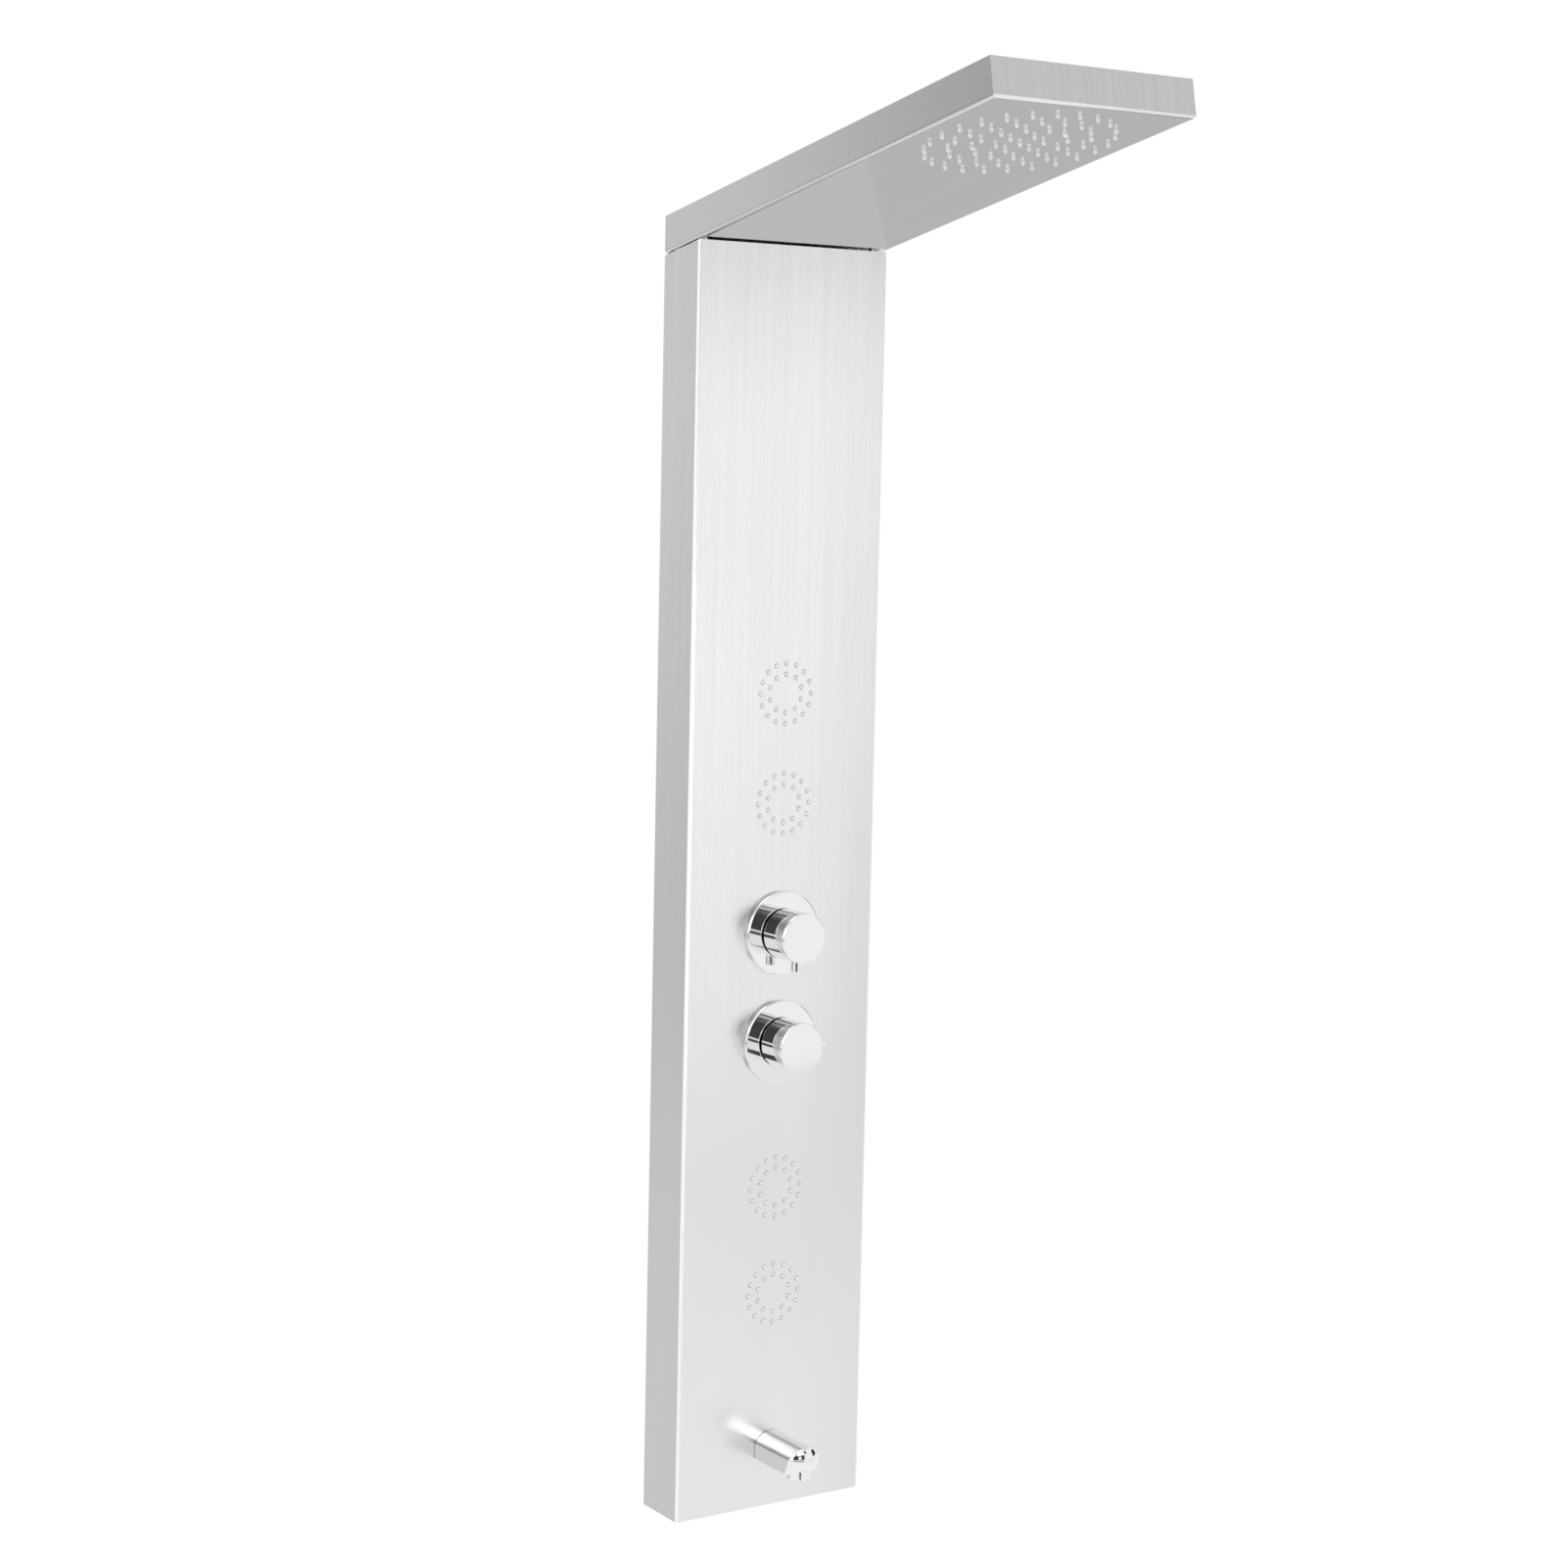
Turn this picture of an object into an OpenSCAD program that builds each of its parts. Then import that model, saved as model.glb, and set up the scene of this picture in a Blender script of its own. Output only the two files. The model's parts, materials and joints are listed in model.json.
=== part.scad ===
// Wall-mounted shower panel column: a folded steel column with four body jets, a mixer knob,
// a diverter knob and a tub spout, under a sloping arm that carries the rain head.
// Origin: bottom centre of the wall plane. +Z up, +X to the right, the front faces -Y.

/* [Column] */
// Width of the column and of the arm
column_width = 200; // [170:1:260]
// Depth of the column from the wall to its front face
column_depth = 58; // [55:1:90]
// Height of the column where it meets the wall
column_height = 1137; // [950:1:1400]
// Thickness of the folded steel sheet
sheet = 1.2; // [0.8:0.1:2]
// Outer radius of the sheet's folds
fold_radius = 3; // [2.4:0.2:6]
// Width of the lips that lie against the wall
wall_lip = 18; // [12:1:24]
// Height of the folded lip at the foot of the column
foot_lip = 15; // [8:1:25]

/* [Arm] */
// Slope of the arm, rising towards its tip, in degrees
arm_slope = 11.1; // [2:0.1:16]
// Length of the arm's underside along the slope
arm_length = 483; // [440:1:620]
// Thickness of the arm across the slope
arm_thickness = 31.9; // [31:0.1:45]
// Gap between the column's top and the arm
arm_gap = 3.5; // [2:0.1:8]
// Distance of the arm screws from the column's sides and front
arm_screw_inset = 9; // [8:0.5:12]
// Diameter of the arm screws
arm_screw_d = 5; // [4:0.5:6]
// Diameter of the spacers in the gap
arm_spacer_d = 10; // [9:0.5:14]
// Depth of the lid's folded edge
lid_flange = 9; // [6:0.5:12]

/* [Rain head] */
// Number of nozzle rings around the centre nozzle
rain_rings = 4; // [2:1:4]
// Step from one nozzle ring to the next
rain_ring_step = 19.2; // [16:0.1:19.5]
// Distance of the nozzle circle's centre from the arm's tip
rain_setback = 98; // [98:1:140]
// How far the rain nozzles stand out of the arm
rain_nub_reach = 4; // [2:0.5:6]
// Diameter of a rain nozzle at its root
rain_nub_d = 5; // [4:0.2:6]
// Height of the water chamber behind the rain nozzles
rain_chamber_height = 21.5; // [21:0.5:23]

/* [Body jets] */
// Height of the upper pair's lower jet above the mixer knob
jet_rise = 118; // [95:1:160]
// Depth of the lower pair's upper jet below the diverter knob
jet_drop = 135; // [108:1:170]
// Length of the hose that links the two jets of a pair
jet_link_length = 29.9; // [24:0.1:60]
// Radius of the outer ring of nozzles in a body jet
jet_outer_ring = 27.25; // [24:0.25:28]
// Number of nozzles in the outer ring
jet_outer_count = 16; // [8:1:18]
// Radius of the inner ring of nozzles in a body jet
jet_inner_ring = 17.4; // [12:0.2:19]
// Number of nozzles in the inner ring
jet_inner_count = 10; // [5:1:12]
// Diameter of a body-jet nozzle at its root
jet_nub_d = 4; // [3:0.1:5]
// How far the body-jet nozzles stand out of the column
jet_nub_reach = 1.8; // [1:0.1:4]
// Depth of a body jet's water chamber
jet_chamber_depth = 22; // [20:1:28]

/* [Controls] */
// Height of the mixer knob, the upper one
mixer_height = 535; // [480:1:680]
// Distance from the mixer knob down to the diverter knob
valve_spacing = 100; // [83:1:140]
// Diameter of the flat flange behind each knob
flange_d = 76.7; // [70:0.1:90]
// Thickness of the flange
flange_height = 4.8; // [4.4:0.1:6]
// Diameter of a knob
knob_d = 46; // [40:1:60]
// How far a knob's front stands out of the column
knob_reach = 38.5; // [34:0.5:50]
// Gap between the flange and the knob
knob_gap = 2.2; // [1:0.1:4]
// Thickness of a knob's wall and face
knob_wall = 3; // [2.6:0.1:5]
// Diameter of the pin in a knob's side
pin_d = 8; // [6:0.5:10]
// How far the pin stands out of the knob
pin_reach = 9; // [6:0.5:20]
// Distance of the pin's axis from the column's front
pin_setback = 26; // [22:0.5:27]
// Diameter of a valve's ceramic cartridge
cartridge_d = 35; // [33:0.5:36]
// Depth of a valve body behind the column's front
valve_depth = 50; // [49:0.5:53]
// Diameter of the spindle that a knob sits on
spindle_d = 10; // [8:0.5:11]

/* [Spout] */
// Width of the tub spout
spout_width = 33.5; // [28:0.5:40]
// Height of the tub spout
spout_height = 25; // [22:1:30]
// How far the tub spout stands out of the column
spout_reach = 65.5; // [62:0.5:90]
// Height of the spout's flat underside above the column's foot
spout_floor = 46; // [40:1:60]
// Distance of the aerator's axis from the column's front
aerator_setback = 48; // [42:1:49]
// Diameter of the aerator
aerator_d = 22; // [18:0.5:23]
// How far the aerator hangs under the spout
aerator_drop = 6; // [4:0.5:8]

/* [Plumbing] */
// Bore of the hoses
hose_bore = 9; // [7:0.5:10]
// Wall of the hoses
hose_wall = 2; // [1:0.1:2.4]
// Radius of the hoses' bends, on the centre line
hose_bend = 18; // [14:0.5:20]
// Outer diameter of the inlet threads
inlet_thread_d = 20.96; // [18:0.01:22]
// Length of the inlet threads
inlet_thread_length = 14; // [10:0.5:16]
// Outer diameter of the brass pipe between the valves
transfer_pipe_d = 15; // [12:0.5:16]

/* [Wall brackets] */
// Clearance between a bracket's ends and the wall lips
bracket_clear = 7; // [2:0.5:20]
// Height of a wall bracket's plate
bracket_plate = 32; // [28:1:40]
// Thickness of the brackets and rails
bracket_sheet = 2; // [1.5:0.1:3]
// Distance of a bracket's screw holes from its ends
bracket_hole_inset = 15; // [8:0.5:30]
// Diameter of a bracket's screw holes
bracket_hole_d = 5.5; // [4:0.1:6.5]
// Depth of the upper rail's lower edge below the column's top
upper_rail_drop = 75; // [60:1:110]
// Height of the lower rail's lower edge above the column's foot
lower_rail_height = 132; // [110:1:160]
// Height of the rails
rail_height = 24; // [20:1:28]

/* [Hidden] */
$fn = 64;

steel = [0.84, 0.84, 0.85];
chrome = [0.90, 0.90, 0.92];
brass = [0.80, 0.67, 0.38];
silicone = [0.93, 0.93, 0.94];
plastic = [0.30, 0.31, 0.33];
hose_grey = [0.62, 0.63, 0.65];
ceramic = [0.95, 0.95, 0.93];

// Overrun of every cut past the face that it opens
overrun = 0.5;
// Longer than the whole object, for half spaces
far = 2 * (column_height + arm_length);
// Clearance of a shaft, a stem or a plug in its bore
running_fit = 0.05;
// Clearance around screws and threads
thread_fit = 0.1;

half_width = column_width / 2;
inner_half = half_width - sheet;
inner_front = column_depth - sheet;
arm_back_height = column_height + arm_gap / cos(arm_slope);

// Screw heads and nuts, as shares of the screw's diameter
nut_width_share = 1.6;
nut_height_share = 0.8;
head_width_share = 1.7;
head_height_share = 0.6;

arm_hole_d = arm_screw_d + 2 * thread_fit;
arm_nut_height = nut_height_share * arm_screw_d;
arm_screw_tail = 1.5;
arm_screw_rows = [
    (column_depth - arm_screw_inset) / cos(arm_slope),
    (sheet + arm_screw_inset) / cos(arm_slope)
];
// Length of the top flange along the slope
top_flange_length = inner_front / cos(arm_slope);
lid_fit = 0.2;

hose_d = hose_bore + 2 * hose_wall;
// Sides of a hose's skin, and the most that it turns from ring to ring, in degrees
hose_sides = 12;
hose_step = 15;
hose_hole_clear = 3;
hose_hole_d = hose_d + 2 * hose_hole_clear;
barb_length = 12;
barb_root_share = 0.84;
barb_d = hose_bore - 2 * running_fit;
barb_rings = 3;
clip_width = 6;
clip_thickness = 0.8;
clip_setback = 4;
hose_nut_width = 22;
hose_nut_length = 13;
hose_end_gap = 0.5;
// Straight leads of the hoses' routes, as shares of the bends' radius
arm_lead_share = 2.6;
chamber_lead_share = 1.4;
port_lead_share = 1.2;
spout_drop_share = 4;

// Distance from the column's front face back to the valves' ports
port_setback = 39;
port_y = port_setback - column_depth;
// Distance from the column's centre to the hoses along its sides
side_line = 70;
// Depth at which hoses pass the supply inlets
jet_line_setback = 16;
jet_line_y = jet_line_setback - column_depth;
port_reach = 34;
port_d = 16;
port_wall = 2.5;
port_bore = port_d - 2 * port_wall;
diverter_height = mixer_height - valve_spacing;

// Rain head
rain_centre = arm_length - rain_setback;
rain_mat_thickness = 2;
rain_mat_margin = 4;
rain_mat_radius = rain_rings * rain_ring_step + rain_mat_margin;
nub_play = 0.3;
rain_hole_d = rain_nub_d + 2 * nub_play;
rain_nub_tip_share = 0.62;
rain_bore_d = 1.2;
rain_chamber_wall = 3;
rain_chamber_radius = rain_mat_radius + rain_chamber_wall + running_fit;
rain_ear_radius = 4.5;
rain_ear_circle = rain_chamber_radius + rain_ear_radius;
rain_ear_height = 4;
rain_stud_d = 4;
rain_stud_count = 6;
rain_ledge = 3;
rain_stub_length = 14;
rain_line = 14.5;

// Body jets
jet_mat_thickness = 2;
jet_mat_radius = jet_outer_ring + jet_nub_d;
jet_hole_d = jet_nub_d + 2 * nub_play;
jet_nub_tip_share = 0.78;
jet_bore_d = 1;
jet_wall = 3;
jet_ledge = 2.5;
jet_radius = jet_mat_radius + jet_wall + running_fit;
jet_ear_radius = 4.5;
jet_ear_overlap = 1;
jet_ear_circle = jet_radius + jet_ear_radius - jet_ear_overlap;
jet_ear_height = 4;
jet_stud_d = 3;
jet_spacing = 2 * (jet_radius + hose_end_gap) + jet_link_length;
// Heights of the jets from the top one down
jet_heights = [
    mixer_height + jet_rise + jet_spacing, mixer_height + jet_rise,
    diverter_height - jet_drop, diverter_height - jet_drop - jet_spacing
];
// Ears stand at odd eighths of a turn, clear of the barbs at the quarters
jet_ear_angles = [45, 135, 225, 315];
// Barb directions of each jet, counted from +X towards +Z
jet_barbs = [[270], [90, 180], [180, 270], [90]];

// Valves, in heights above the column's front face; what lies behind it is negative
flange_radius = flange_d / 2;
knob_back = flange_height + knob_gap;
knob_radius = knob_d / 2;
knob_edge = 1.2;
cartridge_radius = cartridge_d / 2;
nose_wall = 2.2;
nose_radius = cartridge_radius + running_fit + nose_wall;
flange_skin = 1.2;
nose_gap = 0.4;
nose_height = flange_height - flange_skin - nose_gap;
valve_hole_radius = nose_radius + thread_fit;
body_wall = 3.5;
body_radius = nose_radius + body_wall;
shoulder_ledge = 7;
shoulder_radius = nose_radius + shoulder_ledge;
shoulder_height = 8;
cartridge_floor = -27;
disc_thickness = 3.5;
disc_film = 0.05;
disc_rim = 2.5;
fixed_disc_radius = cartridge_radius - disc_rim;
disc_step = 1;
moving_disc_radius = fixed_disc_radius - disc_step;
foot_height = 3.5;
foot_radius_share = 0.62;
cartridge_shoulder = -4;
neck_wall = 4;
cartridge_neck_radius = spindle_d / 2 + neck_wall;
foot_play = 1;
cup_top = cartridge_floor + 2 * disc_thickness + foot_height + foot_play;
ring_nut_wall = 5;
ring_nut_radius = nose_radius + ring_nut_wall;
ring_nut_height = nose_height - nose_gap;
seal_height = 1.4;
seal_width = 4;
flange_edge = 1.4;
// Room in the flange's pocket around the ring nut
pocket_room = 2;
pocket_radius = ring_nut_radius + pocket_room;
flange_hole_clear = 3;
flange_hole_radius = spindle_d / 2 + flange_hole_clear;
boss_wall = 4;
knob_boss_radius = spindle_d / 2 + boss_wall;
spindle_end_gap = 1;
spindle_top = knob_reach - knob_wall - spindle_end_gap;
pin_tail_share = 0.55;
// How far the pin's tail reaches in past the knob's wall
pin_tail_reach = 1;
pin_seat = 0.6;
pin_edge = 0.8;
grub_d = 4;
grub_rise = 7;
grub_setback = knob_back + grub_rise;
waterway = 5;
floor_port_d = 7;
floor_port_circle = 9;
mixer_pin_angle = 270;
diverter_pin_angle = 0;

// Supply inlets
inlet_hex = 24;
inlet_hex_height = 6;
inlet_wall = 3;

// Spout
spout_tail_rise = 12;
spout_centre = spout_floor + spout_tail_rise;
spout_side_share = 0.6;
spout_nose_margin = 0.4;
spout_tail_d = 20;
spout_tail_length = 14;
spout_waterway = 12;
spout_nut_width = 28;
spout_nut_height = 5;
aerator_sink = 6;
aerator_wall = 1.6;
aerator_recess = 1.2;
elbow_setback = 30;
elbow_y = elbow_setback - column_depth;
elbow_reach = 24;

// Wall brackets
bracket_width = column_width - 2 * (wall_lip + bracket_clear);
bracket_holes = bracket_width - 2 * bracket_hole_inset;
hook_height = 14;
hook_play = 0.2;
rail_back = sheet;
hook_back = rail_back + bracket_sheet + hook_play;
upper_rail_height = column_height - upper_rail_drop;

function unit(v) = v / norm(v);
function frame_at(o, x, y, z) = [
    [x[0], y[0], z[0], o[0]], [x[1], y[1], z[1], o[1]], [x[2], y[2], z[2], o[2]], [0, 0, 0, 1]
];
// Point at a distance s up the arm's underside and n above it
function arm_point(x, s, n) = [
    x,
    n * sin(arm_slope) - s * cos(arm_slope),
    arm_back_height + s * sin(arm_slope) + n * cos(arm_slope)
];

// Shared shapes

module ring(outer, inner, height) {
    difference() {
        cylinder(h = height, r = outer);
        translate([0, 0, -overrun]) cylinder(h = height + 2 * overrun, r = inner);
    }
}

module hex_nut(width, bore, height) {
    difference() {
        cylinder(h = height, d = width / cos(30), $fn = 6);
        translate([0, 0, -overrun]) cylinder(h = height + 2 * overrun, d = bore);
    }
}

// Cap screw with its head below z = 0
module cap_screw(d, length) {
    union() {
        cylinder(h = length, d = d);
        translate([0, 0, -head_height_share * d])
            cylinder(h = head_height_share * d, d = head_width_share * d);
    }
}

// Stands a shape's z axis along a direction at a point
module along(p, direction) {
    z = unit(direction);
    side = abs(z[2]) < 0.9 ? [0, 0, 1] : [1, 0, 0];
    x = unit(cross(side, z));
    multmatrix(frame_at(p, x, cross(z, x), z)) children();
}

// Places along a hose's route, each a point with its direction: the two ends, and an arc at each corner
function corner_arc(a, b, c) =
    let (
        d = unit(b - a),
        e = unit(c - b),
        turn = acos(d * e),
        inward = unit(e - d * (d * e)),
        centre = b - hose_bend * tan(turn / 2) * d + hose_bend * inward,
        steps = ceil(turn / hose_step)
    )
    [for (k = [0:steps]) let (t = k * turn / steps) [
        centre + hose_bend * (sin(t) * d - cos(t) * inward),
        cos(t) * d + sin(t) * inward
    ]];

function hose_places(points) = let (last = len(points) - 1) concat(
    [[points[0], unit(points[1] - points[0])]],
    [for (i = [1:1:last - 1]) each corner_arc(points[i - 1], points[i], points[i + 1])],
    [[points[last], unit(points[last] - points[last - 1])]]
);

// Hose swept along corner points, as an outer and an inner skin joined at both ends
module hose_run(points) {
    places = hose_places(points);
    rings = len(places);
    first = places[0][1];
    start = unit(cross(abs(first[2]) < 0.9 ? [0, 0, 1] : [1, 0, 0], first));
    sides = [
        for (i = 0, s = start; i < rings;
             i = i + 1, s = i < rings ? unit(s - places[i][1] * (s * places[i][1])) : s) s
    ];
    skin = [
        for (r = [hose_d / 2, hose_bore / 2]) for (i = [0:rings - 1]) for (k = [0:hose_sides - 1])
            let (t = 360 * k / hose_sides)
            places[i][0] + r * (cos(t) * sides[i] + sin(t) * cross(places[i][1], sides[i]))
    ];
    outer = [for (i = [0:rings - 1]) [for (k = [0:hose_sides]) i * hose_sides + k % hose_sides]];
    inner = [for (row = outer) [for (j = row) j + rings * hose_sides]];
    polyhedron(points = skin, faces = concat(
        [for (i = [0:rings - 2]) for (k = [0:hose_sides - 1]) each [
            [outer[i][k], outer[i + 1][k], outer[i + 1][k + 1]],
            [outer[i][k], outer[i + 1][k + 1], outer[i][k + 1]],
            [inner[i][k], inner[i + 1][k + 1], inner[i + 1][k]],
            [inner[i][k], inner[i][k + 1], inner[i + 1][k + 1]]
        ]],
        [for (k = [0:hose_sides - 1]) each [
            [outer[0][k], outer[0][k + 1], inner[0][k + 1]],
            [outer[0][k], inner[0][k + 1], inner[0][k]],
            [outer[rings - 1][k], inner[rings - 1][k], inner[rings - 1][k + 1]],
            [outer[rings - 1][k], inner[rings - 1][k + 1], outer[rings - 1][k + 1]]
        ]]
    ));
}

// Barb along +z with its root at z = 0
module barb() {
    root = barb_root_share * barb_d;
    ring_length = barb_length / (barb_rings + 1);
    union() {
        cylinder(h = barb_length, d = root);
        for (i = [1:barb_rings])
            translate([0, 0, i * ring_length]) cylinder(h = ring_length, d1 = barb_d, d2 = root);
    }
}

// Frame of the arm: y runs back down the slope, z across the sheet, z = 0 at the underside
module on_arm() {
    translate([0, 0, arm_back_height]) rotate([-arm_slope, 0, 0]) children();
}

// Frame at a height on the column's front: z stands out of the face, y points up
module on_front(height) {
    translate([0, -column_depth, height]) rotate([90, 0, 0]) children();
}

module before_wall(clear) {
    translate([-far, -far - clear, -far]) cube([2 * far, far, 2 * far]);
}

// Column

module column_plan(inset) {
    half = half_width - inset;
    front = column_depth - inset;
    r = fold_radius - inset;
    back = inset == 0 ? 0 : overrun;
    union() {
        translate([-half, r - front]) square([2 * half, front - r + back]);
        translate([r - half, -front]) square([2 * (half - r), r + overrun]);
        for (side = [-1, 1])
            translate([side * (half - r), r - front]) circle(r);
    }
}

module column_walls() {
    linear_extrude(2 * column_height) {
        difference() {
            column_plan(0);
            column_plan(sheet);
        }
        for (side = [-1, 1])
            translate([side * (half_width - wall_lip / 2) - wall_lip / 2, -sheet])
                square([wall_lip, sheet]);
    }
}

// Everything below the sloping plane of the column's top
module below_top() {
    on_arm() translate([-far, -far, -arm_gap - 2 * far]) cube([2 * far, 2 * far, 2 * far]);
}

// Nozzle places: outer ring first, then the inner one
module at_jet_nozzles() {
    for (i = [0:jet_outer_count - 1])
        rotate(90 - i * 360 / jet_outer_count) translate([jet_outer_ring, 0]) children();
    for (i = [0:jet_inner_count - 1])
        rotate(90 - i * 360 / jet_inner_count) translate([jet_inner_ring, 0]) children();
}

module at_jet_ears() {
    for (a = jet_ear_angles)
        rotate(a) translate([jet_ear_circle, 0]) children();
}

module at_arm_screws() {
    for (side = [-1, 1])
        for (s = arm_screw_rows)
            translate([side * (half_width - arm_screw_inset), -s, 0]) children();
}

module column_panel() {
    color(steel)
    difference() {
        union() {
            intersection() {
                column_walls();
                below_top();
            }
            // Foot with its lip against the wall
            translate([-inner_half, -inner_front, 0]) cube([2 * inner_half, inner_front, sheet]);
            translate([-inner_half, -sheet, 0]) cube([2 * inner_half, sheet, foot_lip]);
            // Sloping top flange
            intersection() {
                on_arm() translate([-inner_half, -top_flange_length, -arm_gap - sheet])
                    cube([2 * inner_half, top_flange_length + overrun, sheet]);
                before_wall(0);
            }
            for (h = jet_heights)
                on_front(h) at_jet_ears()
                    translate([0, 0, -sheet - jet_ear_height - 2 * nut_height_share * jet_stud_d])
                        cylinder(h = jet_ear_height + 2 * nut_height_share * jet_stud_d + sheet / 2,
                                 d = jet_stud_d);
        }
        for (h = jet_heights)
            on_front(h) at_jet_nozzles()
                translate([0, 0, -sheet - overrun]) cylinder(h = sheet + 2 * overrun, d = jet_hole_d);
        for (h = [mixer_height, diverter_height])
            on_front(h) translate([0, 0, -sheet - overrun])
                cylinder(h = sheet + 2 * overrun, r = valve_hole_radius);
        on_front(spout_centre) translate([0, 0, -sheet - overrun])
            cylinder(h = sheet + 2 * overrun, d = spout_tail_d + 2 * thread_fit);
        on_arm() at_arm_screws() translate([0, 0, -arm_gap - sheet - overrun])
            cylinder(h = sheet + 2 * overrun, d = arm_hole_d);
        rain_hose_hole();
    }
}

// Way for the rain hose through the top flange and the arm's underside
module rain_hose_hole() {
    translate([side_line, jet_line_y, column_height - hose_hole_d / 2])
        cylinder(h = hose_hole_d + arm_gap + column_depth / 2, d = hose_hole_d);
}

// Arm

module arm_form(inset, top) {
    half = half_width - inset;
    length = arm_length - inset;
    r = fold_radius - inset;
    intersection() {
        on_arm() intersection() {
            // Across the arm, with both lower folds
            rotate([90, 0, 0]) translate([0, 0, -arm_length]) linear_extrude(3 * arm_length) {
                translate([-half, inset + r]) square([2 * half, top - inset - r]);
                translate([r - half, inset]) square([2 * (half - r), r + overrun]);
                for (side = [-1, 1])
                    translate([side * (half - r), inset + r]) circle(r);
            }
            // Along the arm, with the lower fold of the lip
            translate([-far, 0, 0]) rotate([90, 0, 90]) linear_extrude(2 * far) {
                translate([-length, inset + r]) square([2 * length, top - inset - r]);
                translate([r - length, inset]) square([2 * length - r, r + overrun]);
                translate([r - length, inset + r]) circle(r);
            }
        }
        before_wall(inset);
    }
}

module at_rain_nozzles() {
    children();
    for (ring = [1:rain_rings])
        for (i = [0:6 * ring - 1])
            rotate(-90 + i * 60 / ring) translate([ring * rain_ring_step, 0]) children();
}

module at_rain_centre() {
    on_arm() translate([0, -rain_centre, 0]) children();
}

module at_rain_studs() {
    for (i = [0:rain_stud_count - 1])
        rotate(i * 360 / rain_stud_count) translate([rain_ear_circle, 0]) children();
}

module arm_pan() {
    stud_height = rain_ear_height + 2 * nut_height_share * rain_stud_d;
    color(steel)
    difference() {
        union() {
            difference() {
                arm_form(0, arm_thickness);
                arm_form(sheet, arm_thickness + overrun);
            }
            at_rain_centre() at_rain_studs()
                translate([0, 0, sheet / 2]) cylinder(h = stud_height + sheet / 2, d = rain_stud_d);
        }
        at_rain_centre() at_rain_nozzles()
            translate([0, 0, -overrun]) cylinder(h = sheet + 2 * overrun, d = rain_hole_d);
        on_arm() at_arm_screws()
            translate([0, 0, -overrun]) cylinder(h = sheet + 2 * overrun, d = arm_hole_d);
        rain_hose_hole();
    }
}

module arm_lid() {
    inset = sheet + lid_fit;
    half = half_width - inset;
    color(steel)
    difference() {
        intersection() {
            arm_form(inset, arm_thickness);
            on_arm() translate([-half, -far / 2, arm_thickness - lid_flange])
                cube([2 * half, far, lid_flange]);
        }
        intersection() {
            arm_form(inset + sheet, arm_thickness - sheet);
            on_arm() translate([-half, -far / 2, 0]) cube([2 * half, far, arm_thickness]);
        }
    }
}

module arm_spacers() {
    color(steel)
    on_arm() at_arm_screws() translate([0, 0, -arm_gap]) ring(arm_spacer_d / 2, arm_hole_d / 2, arm_gap);
}

module arm_screws() {
    grip = arm_gap + 2 * sheet + arm_nut_height + arm_screw_tail;
    color(steel)
    on_arm() at_arm_screws() translate([0, 0, -arm_gap - sheet]) cap_screw(arm_screw_d, grip);
}

module arm_nuts() {
    color(steel)
    on_arm() at_arm_screws()
        translate([0, 0, sheet]) hex_nut(nut_width_share * arm_screw_d, arm_hole_d, arm_nut_height);
}

// Rain head

module rain_nozzle_mat() {
    reach = sheet + rain_nub_reach;
    tip = rain_nub_tip_share * rain_nub_d;
    color(silicone)
    at_rain_centre() difference() {
        union() {
            translate([0, 0, sheet]) cylinder(h = rain_mat_thickness, r = rain_mat_radius);
            at_rain_nozzles()
                translate([0, 0, sheet - reach])
                    cylinder(h = reach + rain_mat_thickness / 2, d1 = tip, d2 = rain_nub_d);
        }
        at_rain_nozzles()
            translate([0, 0, -rain_nub_reach - overrun])
                cylinder(h = reach + rain_mat_thickness + 2 * overrun, d = rain_bore_d);
    }
}

module rain_chamber() {
    inner = rain_mat_radius + running_fit;
    cavity = inner - rain_ledge;
    color(plastic)
    at_rain_centre() translate([0, 0, sheet]) difference() {
        union() {
            cylinder(h = rain_chamber_height, r = rain_chamber_radius);
            at_rain_studs() cylinder(h = rain_ear_height, r = rain_ear_radius);
            at_rain_studs() rotate(180) translate([0, -rain_ear_radius, 0])
                cube([2 * rain_ear_radius, 2 * rain_ear_radius, rain_ear_height]);
            translate([0, rain_chamber_radius - rain_chamber_wall, rain_line - sheet]) rotate([-90, 0, 0])
                cylinder(h = rain_chamber_wall + rain_stub_length, d = port_d);
        }
        translate([0, 0, -overrun]) cylinder(h = rain_mat_thickness + overrun, r = inner);
        cylinder(h = rain_chamber_height - rain_chamber_wall, r = cavity);
        at_rain_studs() translate([0, 0, -overrun])
            cylinder(h = rain_ear_height + 2 * overrun, d = rain_stud_d + 2 * thread_fit);
        translate([0, cavity - rain_ledge, rain_line - sheet]) rotate([-90, 0, 0])
            cylinder(h = rain_chamber_radius + rain_stub_length, d = port_bore);
    }
}

module rain_chamber_nuts() {
    color(steel)
    at_rain_centre() at_rain_studs() translate([0, 0, sheet + rain_ear_height])
        hex_nut(nut_width_share * rain_stud_d, rain_stud_d + 2 * thread_fit,
                nut_height_share * rain_stud_d);
}

// Body jets

module jet_mat(i) {
    reach = sheet + jet_nub_reach;
    tip = jet_nub_tip_share * jet_nub_d;
    color(silicone)
    on_front(jet_heights[i]) difference() {
        union() {
            translate([0, 0, -sheet - jet_mat_thickness]) cylinder(h = jet_mat_thickness, r = jet_mat_radius);
            at_jet_nozzles()
                translate([0, 0, -sheet - jet_mat_thickness / 2])
                    cylinder(h = reach + jet_mat_thickness / 2, d1 = jet_nub_d, d2 = tip);
        }
        at_jet_nozzles()
            translate([0, 0, -sheet - jet_mat_thickness - overrun])
                cylinder(h = reach + jet_mat_thickness + 2 * overrun, d = jet_bore_d);
    }
}

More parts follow.
